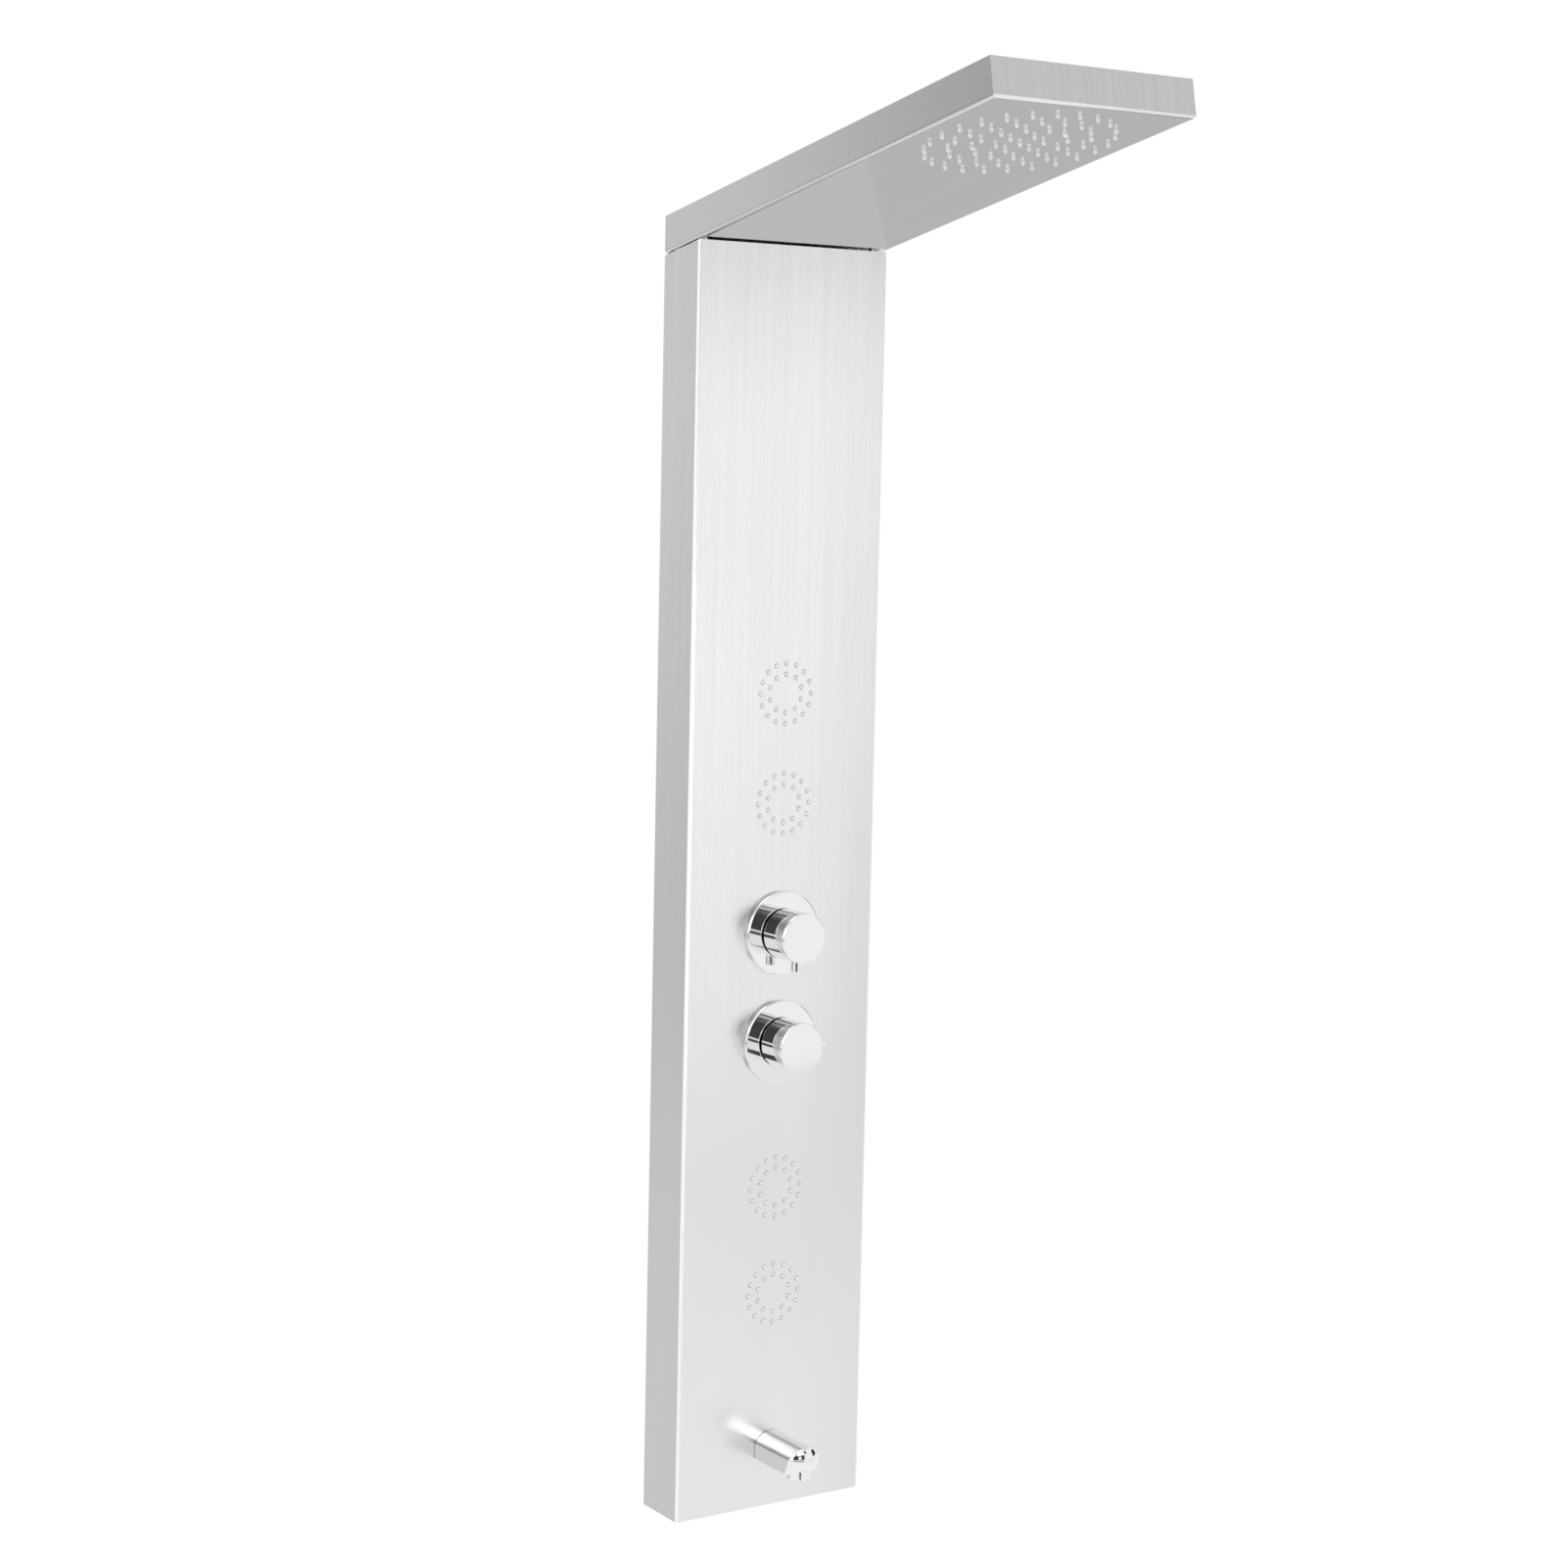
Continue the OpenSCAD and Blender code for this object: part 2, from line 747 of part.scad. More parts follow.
module jet_chamber(i) {
    inner = jet_mat_radius + running_fit;
    cavity = inner - jet_ledge;
    stem = jet_line_setback;
    color(plastic)
    on_front(jet_heights[i]) difference() {
        union() {
            translate([0, 0, -sheet - jet_chamber_depth]) cylinder(h = jet_chamber_depth, r = jet_radius);
            at_jet_ears() translate([0, 0, -sheet - jet_ear_height])
                cylinder(h = jet_ear_height, r = jet_ear_radius);
            for (a = jet_barbs[i])
                rotate(a) translate([jet_radius - jet_wall / 2, 0, -stem]) rotate([0, 90, 0])
                    union() {
                        cylinder(h = jet_wall / 2 + overrun, d = barb_d);
                        translate([0, 0, jet_wall / 2]) barb();
                    }
        }
        translate([0, 0, -sheet - jet_mat_thickness]) cylinder(h = jet_mat_thickness + overrun, r = inner);
        translate([0, 0, jet_wall - sheet - jet_chamber_depth])
            cylinder(h = jet_chamber_depth - jet_wall, r = cavity);
        at_jet_ears() translate([0, 0, -sheet - jet_ear_height - overrun])
            cylinder(h = jet_ear_height + 2 * overrun, d = jet_stud_d + 2 * thread_fit);
        for (a = jet_barbs[i])
            rotate(a) translate([cavity - jet_wall, 0, -stem]) rotate([0, 90, 0])
                cylinder(h = jet_radius + barb_length, d = waterway);
    }
}

module jet_nuts() {
    height = nut_height_share * jet_stud_d;
    color(steel)
    for (h = jet_heights)
        on_front(h) at_jet_ears() translate([0, 0, -sheet - jet_ear_height - height])
            hex_nut(nut_width_share * jet_stud_d, jet_stud_d + 2 * thread_fit, height);
}

// Hoses

jet_side_end = [jet_radius + hose_end_gap, jet_line_y];
riser_bottom = diverter_height + port_d / 2 + hose_end_gap;
lower_top = diverter_height - port_d / 2 - hose_end_gap;
// Rise over which a hose moves from the ports' depth to the jets' depth
depth_shift = 34;
depth_shift_start = 36;

module rain_hose() {
    slope_s = (rain_line * sin(arm_slope) - jet_line_y) / cos(arm_slope);
    chamber_end = rain_centre - rain_chamber_radius - rain_stub_length - hose_end_gap;
    color(hose_grey)
    hose_run([
        [port_reach + hose_end_gap, port_y, diverter_height],
        [side_line, port_y, diverter_height],
        [side_line, port_y, diverter_height + depth_shift_start],
        [side_line, jet_line_y, diverter_height + depth_shift_start + depth_shift],
        arm_point(side_line, slope_s, rain_line),
        arm_point(side_line, slope_s + arm_lead_share * hose_bend, rain_line),
        arm_point(0, chamber_end - chamber_lead_share * hose_bend, rain_line),
        arm_point(0, chamber_end, rain_line)
    ]);
}

module jet_riser_hose() {
    color(hose_grey)
    hose_run([
        [-side_line, port_y, riser_bottom],
        [-side_line, port_y, diverter_height + depth_shift_start],
        [-side_line, jet_line_y, diverter_height + depth_shift_start + depth_shift],
        [-side_line, jet_line_y, jet_heights[1]],
        [-jet_side_end[0], jet_line_y, jet_heights[1]]
    ]);
}

module jet_lower_hose() {
    color(hose_grey)
    hose_run([
        [-side_line, port_y, lower_top],
        [-side_line, port_y, diverter_height - depth_shift_start],
        [-side_line, jet_line_y, diverter_height - depth_shift_start - depth_shift],
        [-side_line, jet_line_y, jet_heights[2]],
        [-jet_side_end[0], jet_line_y, jet_heights[2]]
    ]);
}

module jet_link_hoses() {
    color(hose_grey)
    for (pair = [[1, 0], [3, 2]])
        hose_run([
            [0, jet_line_y, jet_heights[pair[0]] + jet_radius + hose_end_gap],
            [0, jet_line_y, jet_heights[pair[1]] - jet_radius - hose_end_gap]
        ]);
}

module jet_tee() {
    color(brass)
    translate([-side_line, port_y, diverter_height]) difference() {
        union() {
            sphere(d = port_d);
            rotate([0, 90, 0]) cylinder(h = side_line - port_reach - hose_end_gap, d = port_d);
            for (side = [0, 180])
                rotate([side, 0, 0]) {
                    cylinder(h = port_d / 2, d = barb_d);
                    translate([0, 0, port_d / 2]) barb();
                }
        }
        rotate([0, 90, 0]) cylinder(h = side_line, d = port_bore);
        translate([0, 0, -port_d / 2 - barb_length - overrun])
            cylinder(h = port_d + 2 * (barb_length + overrun), d = waterway);
    }
}

// Clip round a hose end; the end lies at z = 0
module clip_at(p, direction) {
    along(p, direction) translate([0, 0, clip_setback])
        ring(hose_d / 2 + clip_thickness, hose_d / 2 + running_fit, clip_width);
}

module hose_clips() {
    side = -jet_side_end[0];
    color(steel) {
        clip_at([-side_line, port_y, riser_bottom], [0, 0, 1]);
        clip_at([-side_line, port_y, lower_top], [0, 0, -1]);
        clip_at([side, jet_line_y, jet_heights[1]], [-1, 0, 0]);
        clip_at([side, jet_line_y, jet_heights[2]], [-1, 0, 0]);
        for (pair = [[1, 0], [3, 2]]) {
            clip_at([0, jet_line_y, jet_heights[pair[0]] + jet_radius + hose_end_gap], [0, 0, 1]);
            clip_at([0, jet_line_y, jet_heights[pair[1]] - jet_radius - hose_end_gap], [0, 0, -1]);
        }
    }
}

// Union nut over a port and the hose end that meets it at the point
module union_nut(p, direction) {
    along(p, direction) translate([0, 0, -hose_nut_length / 2]) difference() {
        cylinder(h = hose_nut_length, d = hose_nut_width / cos(30), $fn = 6);
        translate([0, 0, -overrun])
            cylinder(h = hose_nut_length / 2 + overrun + hose_end_gap / 2, d = port_d + 2 * running_fit);
        cylinder(h = hose_nut_length + overrun, d = hose_d + 2 * running_fit);
    }
}

module hose_nuts() {
    rain_end = rain_centre - rain_chamber_radius - rain_stub_length;
    color(brass) {
        union_nut([port_reach, port_y, diverter_height], [1, 0, 0]);
        union_nut([0, port_y, diverter_height - port_reach], [0, 0, -1]);
        union_nut([elbow_reach, elbow_y, spout_centre], [1, 0, 0]);
        union_nut(arm_point(0, rain_end, rain_line),
                  arm_point(0, 0, rain_line) - arm_point(0, rain_end, rain_line));
        // Sleeve nuts of the tee and of the pipe between the valves
        translate([-port_reach, port_y, diverter_height]) rotate([0, 90, 0])
            translate([0, 0, -hose_nut_length / 2])
                hex_nut(hose_nut_width, port_d + 2 * running_fit, hose_nut_length);
        for (h = [mixer_height - port_reach, diverter_height + port_reach])
            translate([0, port_y, h - hose_nut_length / 2])
                hex_nut(hose_nut_width, port_d + 2 * running_fit, hose_nut_length);
    }
}

module spout_hose() {
    color(hose_grey)
    hose_run([
        [0, port_y, diverter_height - port_reach - hose_end_gap],
        [0, port_y, diverter_height - port_reach - port_lead_share * hose_bend],
        [side_line, elbow_y, diverter_height - port_reach - spout_drop_share * hose_bend],
        [side_line, elbow_y, spout_centre],
        [elbow_reach + hose_end_gap, elbow_y, spout_centre]
    ]);
}

module transfer_pipe() {
    top = mixer_height - port_reach - hose_end_gap;
    bottom = diverter_height + port_reach + hose_end_gap;
    color(brass)
    translate([0, port_y, bottom]) ring(transfer_pipe_d / 2, port_bore / 2, top - bottom);
}

// Valves

// Port along an angle in the valve's plane
module valve_port(angle, reach, d) {
    rotate(angle) translate([0, 0, -port_setback]) rotate([0, 90, 0]) cylinder(h = reach, d = d);
}

module valve_body(port_angles, inlet_angles) {
    color(brass)
    difference() {
        union() {
            translate([0, 0, -valve_depth]) cylinder(h = valve_depth - sheet, r = body_radius);
            translate([0, 0, -sheet - shoulder_height]) cylinder(h = shoulder_height, r = shoulder_radius);
            translate([0, 0, -sheet]) cylinder(h = sheet + nose_height, r = nose_radius);
            for (a = port_angles) valve_port(a, port_reach, port_d);
            for (a = inlet_angles) valve_port(a, port_reach - inlet_hex_height, inlet_hex);
        }
        translate([0, 0, cartridge_floor])
            cylinder(h = nose_height - cartridge_floor + overrun, r = cartridge_radius + running_fit);
        for (a = port_angles) rotate(a) {
            translate([floor_port_circle, 0, -port_setback]) rotate([0, 90, 0])
                cylinder(h = port_reach, d = port_bore);
            translate([floor_port_circle, 0, -port_setback])
                cylinder(h = port_setback + cartridge_floor + overrun, d = floor_port_d);
        }
        for (a = inlet_angles) rotate(a) {
            translate([floor_port_circle, 0, -port_setback]) rotate([0, 90, 0])
                cylinder(h = port_reach, d = port_bore);
            translate([floor_port_circle, 0, -port_setback])
                cylinder(h = port_setback + cartridge_floor + overrun, d = floor_port_d);
        }
    }
}

module valve_cartridge() {
    color(plastic)
    difference() {
        union() {
            translate([0, 0, cartridge_floor])
                cylinder(h = cartridge_shoulder - cartridge_floor, r = cartridge_radius);
            translate([0, 0, cartridge_shoulder])
                cylinder(h = nose_height - cartridge_shoulder, r = cartridge_neck_radius);
        }
        translate([0, 0, cartridge_floor - overrun])
            cylinder(h = cup_top - cartridge_floor + overrun, r = fixed_disc_radius + running_fit);
        cylinder(h = 2 * far, r = spindle_d / 2 + running_fit, center = true);
    }
}

module valve_fixed_disc(port_angles) {
    color(ceramic)
    translate([0, 0, cartridge_floor]) difference() {
        cylinder(h = disc_thickness, r = fixed_disc_radius);
        for (a = port_angles)
            rotate(a) translate([floor_port_circle, 0, -overrun])
                cylinder(h = disc_thickness + 2 * overrun, d = floor_port_d);
    }
}

module valve_moving_disc(slot_angle) {
    color(ceramic)
    translate([0, 0, cartridge_floor + disc_thickness + disc_film]) difference() {
        cylinder(h = disc_thickness - disc_film, r = moving_disc_radius);
        rotate(slot_angle) translate([floor_port_circle, 0, -overrun])
            cylinder(h = disc_thickness / 2 + overrun, d = floor_port_d);
    }
}

module valve_spindle() {
    foot_bottom = cartridge_floor + 2 * disc_thickness;
    color(brass)
    union() {
        translate([0, 0, foot_bottom])
            cylinder(h = foot_height, r = foot_radius_share * moving_disc_radius);
        translate([0, 0, foot_bottom]) cylinder(h = spindle_top - foot_bottom, d = spindle_d);
    }
}

module valve_flange() {
    seal_outer = pocket_radius + seal_width;
    color(chrome)
    difference() {
        rotate_extrude() {
            square([flange_radius, flange_height - flange_edge]);
            square([flange_radius - flange_edge, flange_height]);
            translate([flange_radius - flange_edge, flange_height - flange_edge]) intersection() {
                circle(flange_edge);
                square(flange_edge);
            }
        }
        translate([0, 0, -overrun]) cylinder(h = flange_height - flange_skin + overrun, r = pocket_radius);
        translate([0, 0, -overrun]) cylinder(h = seal_height + overrun, r = seal_outer);
        cylinder(h = flange_height + overrun, r = flange_hole_radius);
    }
}

module flange_seals() {
    color(plastic)
    for (h = [mixer_height, diverter_height])
        on_front(h) ring(pocket_radius + seal_width - running_fit, pocket_radius, seal_height);
}

module valve_ring_nuts() {
    color(brass)
    for (h = [mixer_height, diverter_height])
        on_front(h) hex_nut(2 * ring_nut_radius * cos(30), 2 * (nose_radius + running_fit), ring_nut_height);
}

module valve_clamp_nuts() {
    color(brass)
    for (h = [mixer_height, diverter_height])
        on_front(h) translate([0, 0, cartridge_shoulder])
            ring(cartridge_radius, cartridge_neck_radius + running_fit, nose_height - cartridge_shoulder);
}

// Knob as a cup with a boss for the spindle; the pin and the grub screw lie across it
module valve_knob(pin_angle) {
    color(chrome)
    difference() {
        rotate_extrude() {
            // Wall and face with a rounded front edge
            difference() {
                union() {
                    translate([0, knob_back]) square([knob_radius, knob_reach - knob_back - knob_edge]);
                    translate([0, knob_back]) square([knob_radius - knob_edge, knob_reach - knob_back]);
                    translate([knob_radius - knob_edge, knob_reach - knob_edge]) circle(knob_edge);
                }
                translate([0, knob_back - overrun])
                    square([knob_radius - knob_wall, knob_reach - knob_back - knob_wall + overrun]);
            }
            // Boss
            translate([0, knob_back + knob_gap])
                square([knob_boss_radius, knob_reach - knob_back - knob_gap - knob_wall / 2]);
        }
        translate([0, 0, knob_back - overrun])
            cylinder(h = spindle_top + running_fit - knob_back + overrun, r = spindle_d / 2 + running_fit);
        rotate(pin_angle) translate([knob_boss_radius + running_fit, 0, pin_setback]) rotate([0, 90, 0])
            cylinder(h = knob_radius, d = pin_tail_share * pin_d + 2 * running_fit);
        rotate(pin_angle) translate([knob_radius - pin_seat, 0, pin_setback]) rotate([0, 90, 0])
            cylinder(h = knob_radius, d = pin_d + 2 * running_fit);
        rotate(pin_angle + 180) translate([0, 0, grub_setback]) rotate([0, 90, 0])
            cylinder(h = knob_d, d = grub_d + 2 * running_fit);
    }
}

module knob_pin(angle) {
    tail_start = knob_radius - knob_wall - pin_tail_reach;
    color(chrome)
    rotate(angle) translate([0, 0, pin_setback]) rotate([0, 90, 0]) union() {
        translate([0, 0, tail_start])
            cylinder(h = knob_radius - pin_seat - tail_start, d = pin_tail_share * pin_d);
        translate([0, 0, knob_radius - pin_seat])
            cylinder(h = pin_seat + pin_reach - pin_edge, d = pin_d);
        translate([0, 0, knob_radius + pin_reach - pin_edge])
            cylinder(h = pin_edge, d1 = pin_d, d2 = pin_d - 2 * pin_edge);
    }
}

module knob_grub_screw(angle) {
    inner = spindle_d / 2 + running_fit;
    length = knob_boss_radius - inner;
    color(steel)
    rotate(angle + 180) translate([inner, 0, grub_setback]) rotate([0, 90, 0]) difference() {
        cylinder(h = length, d = grub_d);
        translate([0, 0, length / 2]) cylinder(h = length, d = grub_d / 2, $fn = 6);
    }
}

mixer_ports = [270];
mixer_inlets = [0, 180];
diverter_ports = [0, 90, 180, 270];

module mixer_body() { on_front(mixer_height) valve_body(mixer_ports, mixer_inlets); }
module mixer_cartridge() { on_front(mixer_height) valve_cartridge(); }
module mixer_fixed_disc() { on_front(mixer_height) valve_fixed_disc(concat(mixer_ports, mixer_inlets)); }
module mixer_moving_disc() { on_front(mixer_height) valve_moving_disc(mixer_pin_angle); }
module mixer_spindle() { on_front(mixer_height) valve_spindle(); }
module mixer_flange() { on_front(mixer_height) valve_flange(); }
module mixer_knob() { on_front(mixer_height) valve_knob(mixer_pin_angle); }
module mixer_pin() { on_front(mixer_height) knob_pin(mixer_pin_angle); }
module mixer_grub_screw() { on_front(mixer_height) knob_grub_screw(mixer_pin_angle); }
module diverter_body() { on_front(diverter_height) valve_body(diverter_ports, []); }
module diverter_cartridge() { on_front(diverter_height) valve_cartridge(); }
module diverter_fixed_disc() { on_front(diverter_height) valve_fixed_disc(diverter_ports); }
module diverter_moving_disc() { on_front(diverter_height) valve_moving_disc(diverter_pin_angle); }
module diverter_spindle() { on_front(diverter_height) valve_spindle(); }
module diverter_flange() { on_front(diverter_height) valve_flange(); }
module diverter_knob() { on_front(diverter_height) valve_knob(diverter_pin_angle); }
module diverter_pin() { on_front(diverter_height) knob_pin(diverter_pin_angle); }
module diverter_grub_screw() { on_front(diverter_height) knob_grub_screw(diverter_pin_angle); }

// Threaded inlet on a side of the mixer body
module inlet(angle) {
    color(brass)
    on_front(mixer_height) rotate(angle) translate([port_reach - inlet_hex_height, 0, -port_setback])
        rotate([0, 90, 0]) difference() {
            union() {
                cylinder(h = inlet_hex_height, d = inlet_hex / cos(30), $fn = 6);
                translate([0, 0, inlet_hex_height])
                    cylinder(h = inlet_thread_length, d = inlet_thread_d);
            }
            translate([0, 0, -overrun])
                cylinder(h = inlet_hex_height + inlet_thread_length + 2 * overrun,
                         d = inlet_thread_d - 2 * inlet_wall);
        }
}

module cold_inlet() { inlet(0); }
module hot_inlet() { inlet(180); }

// Spout

module spout_section() {
    half = spout_width / 2;
    side = spout_side_share * spout_height;
    rise = spout_height - side;
    // Arched top through both shoulders and the crown
    arch = (half * half + rise * rise) / (2 * rise);
    union() {
        translate([-half, 0]) square([spout_width, side]);
        intersection() {
            translate([0, spout_height - arch]) circle(arch);
            translate([-half, 0]) square([spout_width, spout_height + overrun]);
        }
    }
}

module spout_form() {
    half = spout_width / 2;
    // Ball nose, just wide enough to take in the section's lower corners
    ball = norm([half, spout_tail_rise]) + spout_nose_margin;
    intersection() {
        translate([0, -column_depth, spout_floor]) rotate([90, 0, 0])
            linear_extrude(spout_reach) spout_section();
        union() {
            translate([-spout_width, -column_depth - spout_reach + ball, 0])
                cube([2 * spout_width, spout_reach, 2 * (spout_floor + spout_height)]);
            translate([0, -column_depth - spout_reach + ball, spout_centre]) sphere(ball);
        }
    }
}

module spout_body() {
    color(chrome)
    difference() {
        union() {
            spout_form();
            on_front(spout_centre) translate([0, 0, -spout_tail_length - sheet])
                cylinder(h = spout_tail_length + sheet + overrun, d = spout_tail_d);
        }
        on_front(spout_centre) translate([0, 0, -spout_tail_length - sheet - overrun])
            cylinder(h = spout_tail_length + sheet + overrun + aerator_setback, d = spout_waterway);
        translate([0, -column_depth - aerator_setback, spout_floor - overrun])
            cylinder(h = aerator_sink + overrun, d = aerator_d + 2 * running_fit);
        translate([0, -column_depth - aerator_setback, spout_floor])
            cylinder(h = spout_centre - spout_floor, d = spout_waterway);
    }
}

module aerator_housing() {
    color(chrome)
    translate([0, -column_depth - aerator_setback, spout_floor - aerator_drop]) difference() {
        union() {
            translate([0, 0, aerator_wall / 2])
                cylinder(h = aerator_drop + aerator_sink - aerator_wall / 2, d = aerator_d);
            cylinder(h = aerator_wall / 2, d1 = aerator_d - aerator_wall, d2 = aerator_d);
        }
        translate([0, 0, -overrun])
            cylinder(h = aerator_drop + aerator_sink + 2 * overrun, d = aerator_d - 2 * aerator_wall);
    }
}

module aerator_insert() {
    height = aerator_drop + aerator_sink - aerator_recess;
    hole = aerator_wall;
    step = 2 * hole;
    color(silicone)
    translate([0, -column_depth - aerator_setback, spout_floor - aerator_drop + aerator_recess])
        difference() {
            cylinder(h = height, d = aerator_d - 2 * aerator_wall - 2 * running_fit);
            translate([0, 0, -overrun]) cylinder(h = height + 2 * overrun, d = hole);
            for (i = [0:5])
                rotate(60 * i) translate([step, 0, -overrun])
                    cylinder(h = height + 2 * overrun, d = hole);
        }
}

module spout_nut() {
    color(brass)
    on_front(spout_centre) translate([0, 0, -sheet - spout_nut_height])
        hex_nut(spout_nut_width, spout_tail_d + 2 * running_fit, spout_nut_height);
}

// Elbow from the spout's tail to the side
module spout_elbow() {
    start = column_depth - sheet - spout_tail_length;
    color(brass)
    translate([0, elbow_y, spout_centre]) difference() {
        union() {
            sphere(d = spout_tail_d);
            rotate([90, 0, 0]) cylinder(h = start + elbow_y, d = spout_tail_d);
            rotate([0, 90, 0]) cylinder(h = elbow_reach, d = port_d);
        }
        rotate([90, 0, 0]) cylinder(h = start + elbow_y + overrun, d = spout_waterway);
        rotate([0, 90, 0]) cylinder(h = elbow_reach + overrun, d = port_bore);
    }
}

// Wall brackets

module rail(height) {
    color(steel)
    translate([-inner_half, -rail_back - bracket_sheet, height])
        cube([2 * inner_half, bracket_sheet, rail_height]);
}

module bracket(height) {
    half = bracket_width / 2;
    color(steel)
    translate([0, 0, height]) difference() {
        union() {
            translate([-half, -bracket_sheet, -bracket_plate])
                cube([bracket_width, bracket_sheet, bracket_plate]);
            translate([-half, -hook_back - bracket_sheet, -bracket_sheet])
                cube([bracket_width, hook_back + bracket_sheet, bracket_sheet]);
            translate([-half, -hook_back - bracket_sheet, -bracket_sheet])
                cube([bracket_width, bracket_sheet, hook_height + bracket_sheet]);
        }
        for (side = [-1, 1])
            translate([side * bracket_holes / 2, overrun, -bracket_plate / 2]) rotate([90, 0, 0])
                cylinder(h = bracket_sheet + 2 * overrun, d = bracket_hole_d);
    }
}

module upper_rail() { rail(upper_rail_height); }
module lower_rail() { rail(lower_rail_height); }
module upper_bracket() { bracket(upper_rail_height); }
module lower_bracket() { bracket(lower_rail_height); }

module jet_mat_1() { jet_mat(0); }
module jet_mat_2() { jet_mat(1); }
module jet_mat_3() { jet_mat(2); }
module jet_mat_4() { jet_mat(3); }
module jet_chamber_1() { jet_chamber(0); }
module jet_chamber_2() { jet_chamber(1); }
module jet_chamber_3() { jet_chamber(2); }
module jet_chamber_4() { jet_chamber(3); }

column_panel();
arm_pan();
arm_lid();
arm_spacers();
arm_screws();
arm_nuts();
rain_nozzle_mat();
rain_chamber();
rain_chamber_nuts();
rain_hose();
jet_mat_1();
jet_mat_2();
jet_mat_3();
jet_mat_4();
jet_chamber_1();
jet_chamber_2();
jet_chamber_3();
jet_chamber_4();
jet_nuts();
jet_tee();
jet_riser_hose();
jet_lower_hose();
jet_link_hoses();
hose_clips();
hose_nuts();
mixer_body();
mixer_cartridge();
mixer_fixed_disc();
mixer_flange();
hot_inlet();
cold_inlet();
transfer_pipe();
diverter_body();
diverter_cartridge();
diverter_fixed_disc();
diverter_flange();
valve_ring_nuts();
valve_clamp_nuts();
flange_seals();
spout_body();
aerator_housing();
aerator_insert();
spout_nut();
spout_elbow();
spout_hose();
upper_rail();
lower_rail();
upper_bracket();
lower_bracket();
mixer_knob();
mixer_pin();
mixer_grub_screw();
mixer_spindle();
mixer_moving_disc();
diverter_knob();
diverter_pin();
diverter_grub_screw();
diverter_spindle();
diverter_moving_disc();
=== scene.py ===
import json
import bmesh
import bpy
import numpy as np
from mathutils import Matrix, Vector

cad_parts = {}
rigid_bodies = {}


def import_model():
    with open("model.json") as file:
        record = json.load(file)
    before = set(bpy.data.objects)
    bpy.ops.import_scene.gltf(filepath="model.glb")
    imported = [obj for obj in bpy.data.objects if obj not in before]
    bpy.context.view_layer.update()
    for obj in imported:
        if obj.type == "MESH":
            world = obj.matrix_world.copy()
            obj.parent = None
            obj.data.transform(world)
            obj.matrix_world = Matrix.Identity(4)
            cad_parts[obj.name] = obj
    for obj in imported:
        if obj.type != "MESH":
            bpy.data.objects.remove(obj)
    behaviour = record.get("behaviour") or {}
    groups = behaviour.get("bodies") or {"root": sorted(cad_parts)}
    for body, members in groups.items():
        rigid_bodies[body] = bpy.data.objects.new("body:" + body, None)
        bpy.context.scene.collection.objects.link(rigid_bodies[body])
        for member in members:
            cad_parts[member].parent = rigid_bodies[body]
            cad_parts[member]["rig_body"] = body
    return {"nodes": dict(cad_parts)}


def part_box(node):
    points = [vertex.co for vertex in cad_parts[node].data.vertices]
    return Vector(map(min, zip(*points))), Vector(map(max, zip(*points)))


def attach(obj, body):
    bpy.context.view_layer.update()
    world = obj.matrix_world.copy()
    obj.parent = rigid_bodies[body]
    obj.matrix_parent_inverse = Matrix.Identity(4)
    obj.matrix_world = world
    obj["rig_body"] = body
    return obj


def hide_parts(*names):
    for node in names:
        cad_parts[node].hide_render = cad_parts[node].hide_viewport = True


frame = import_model()
print("frame loaded with", len(frame["nodes"]), "nodes")

mm = 0.001
scene = bpy.context.scene
scene.view_settings.view_transform = "Standard"


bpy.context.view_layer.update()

# camera, from the photograph's edges: turned round Z, tipped, then rolled
cameraLook = {"place": (-1.4743, -2.2904, 0.9500), "turn": -33.44, "tip": 84.039, "roll": 1.239,
              "lens": 68.42, "sensor": 36, "farthest": 60}


def makeCamera(look):
    data = bpy.data.cameras.new("camera")
    data.lens, data.sensor_width, data.clip_end = look["lens"], look["sensor"], look["farthest"]
    camera = bpy.data.objects.new("camera", data)
    turned = Matrix.Rotation(np.radians(look["turn"]), 4, "Z")
    tipped = Matrix.Rotation(np.radians(look["tip"]), 4, "X")
    rolled = Matrix.Rotation(np.radians(look["roll"]), 4, "Z")
    camera.matrix_world = Matrix.Translation(look["place"]) @ turned @ tipped @ rolled
    scene.collection.objects.link(camera)
    scene.camera = camera


makeCamera(cameraLook)
print("camera placed")


# arithmetic on a wrapped socket adds Math nodes
class Socket:
    def __init__(self, tree, output):
        self.tree, self.output = tree, output

    def calculate(self, operation, *values):
        node = self.tree.nodes.new("ShaderNodeMath")
        node.operation = operation
        for place, value in zip(node.inputs, values):
            if isinstance(value, Socket):
                self.tree.links.new(value.output, place)
            else:
                place.default_value = value
        return Socket(self.tree, node.outputs[0])

    def __add__(self, other):
        return self.calculate("ADD", self, other)

    def __radd__(self, other):
        return self.calculate("ADD", other, self)

    def __sub__(self, other):
        return self.calculate("SUBTRACT", self, other)

    def __rsub__(self, other):
        return self.calculate("SUBTRACT", other, self)

    def __mul__(self, other):
        return self.calculate("MULTIPLY", self, other)

    def __rmul__(self, other):
        return self.calculate("MULTIPLY", other, self)

    def __truediv__(self, other):
        return self.calculate("DIVIDE", self, other)

    def sine(self):
        return self.calculate("SINE", self)

    def clamped(self):
        return self.calculate("MINIMUM", self.calculate("MAXIMUM", self, 0), 1)

    # how far the value has come on its way from a start to an end, from 0 to 1
    def share(self, start, end):
        return ((self - start) / (end - start)).clamped()


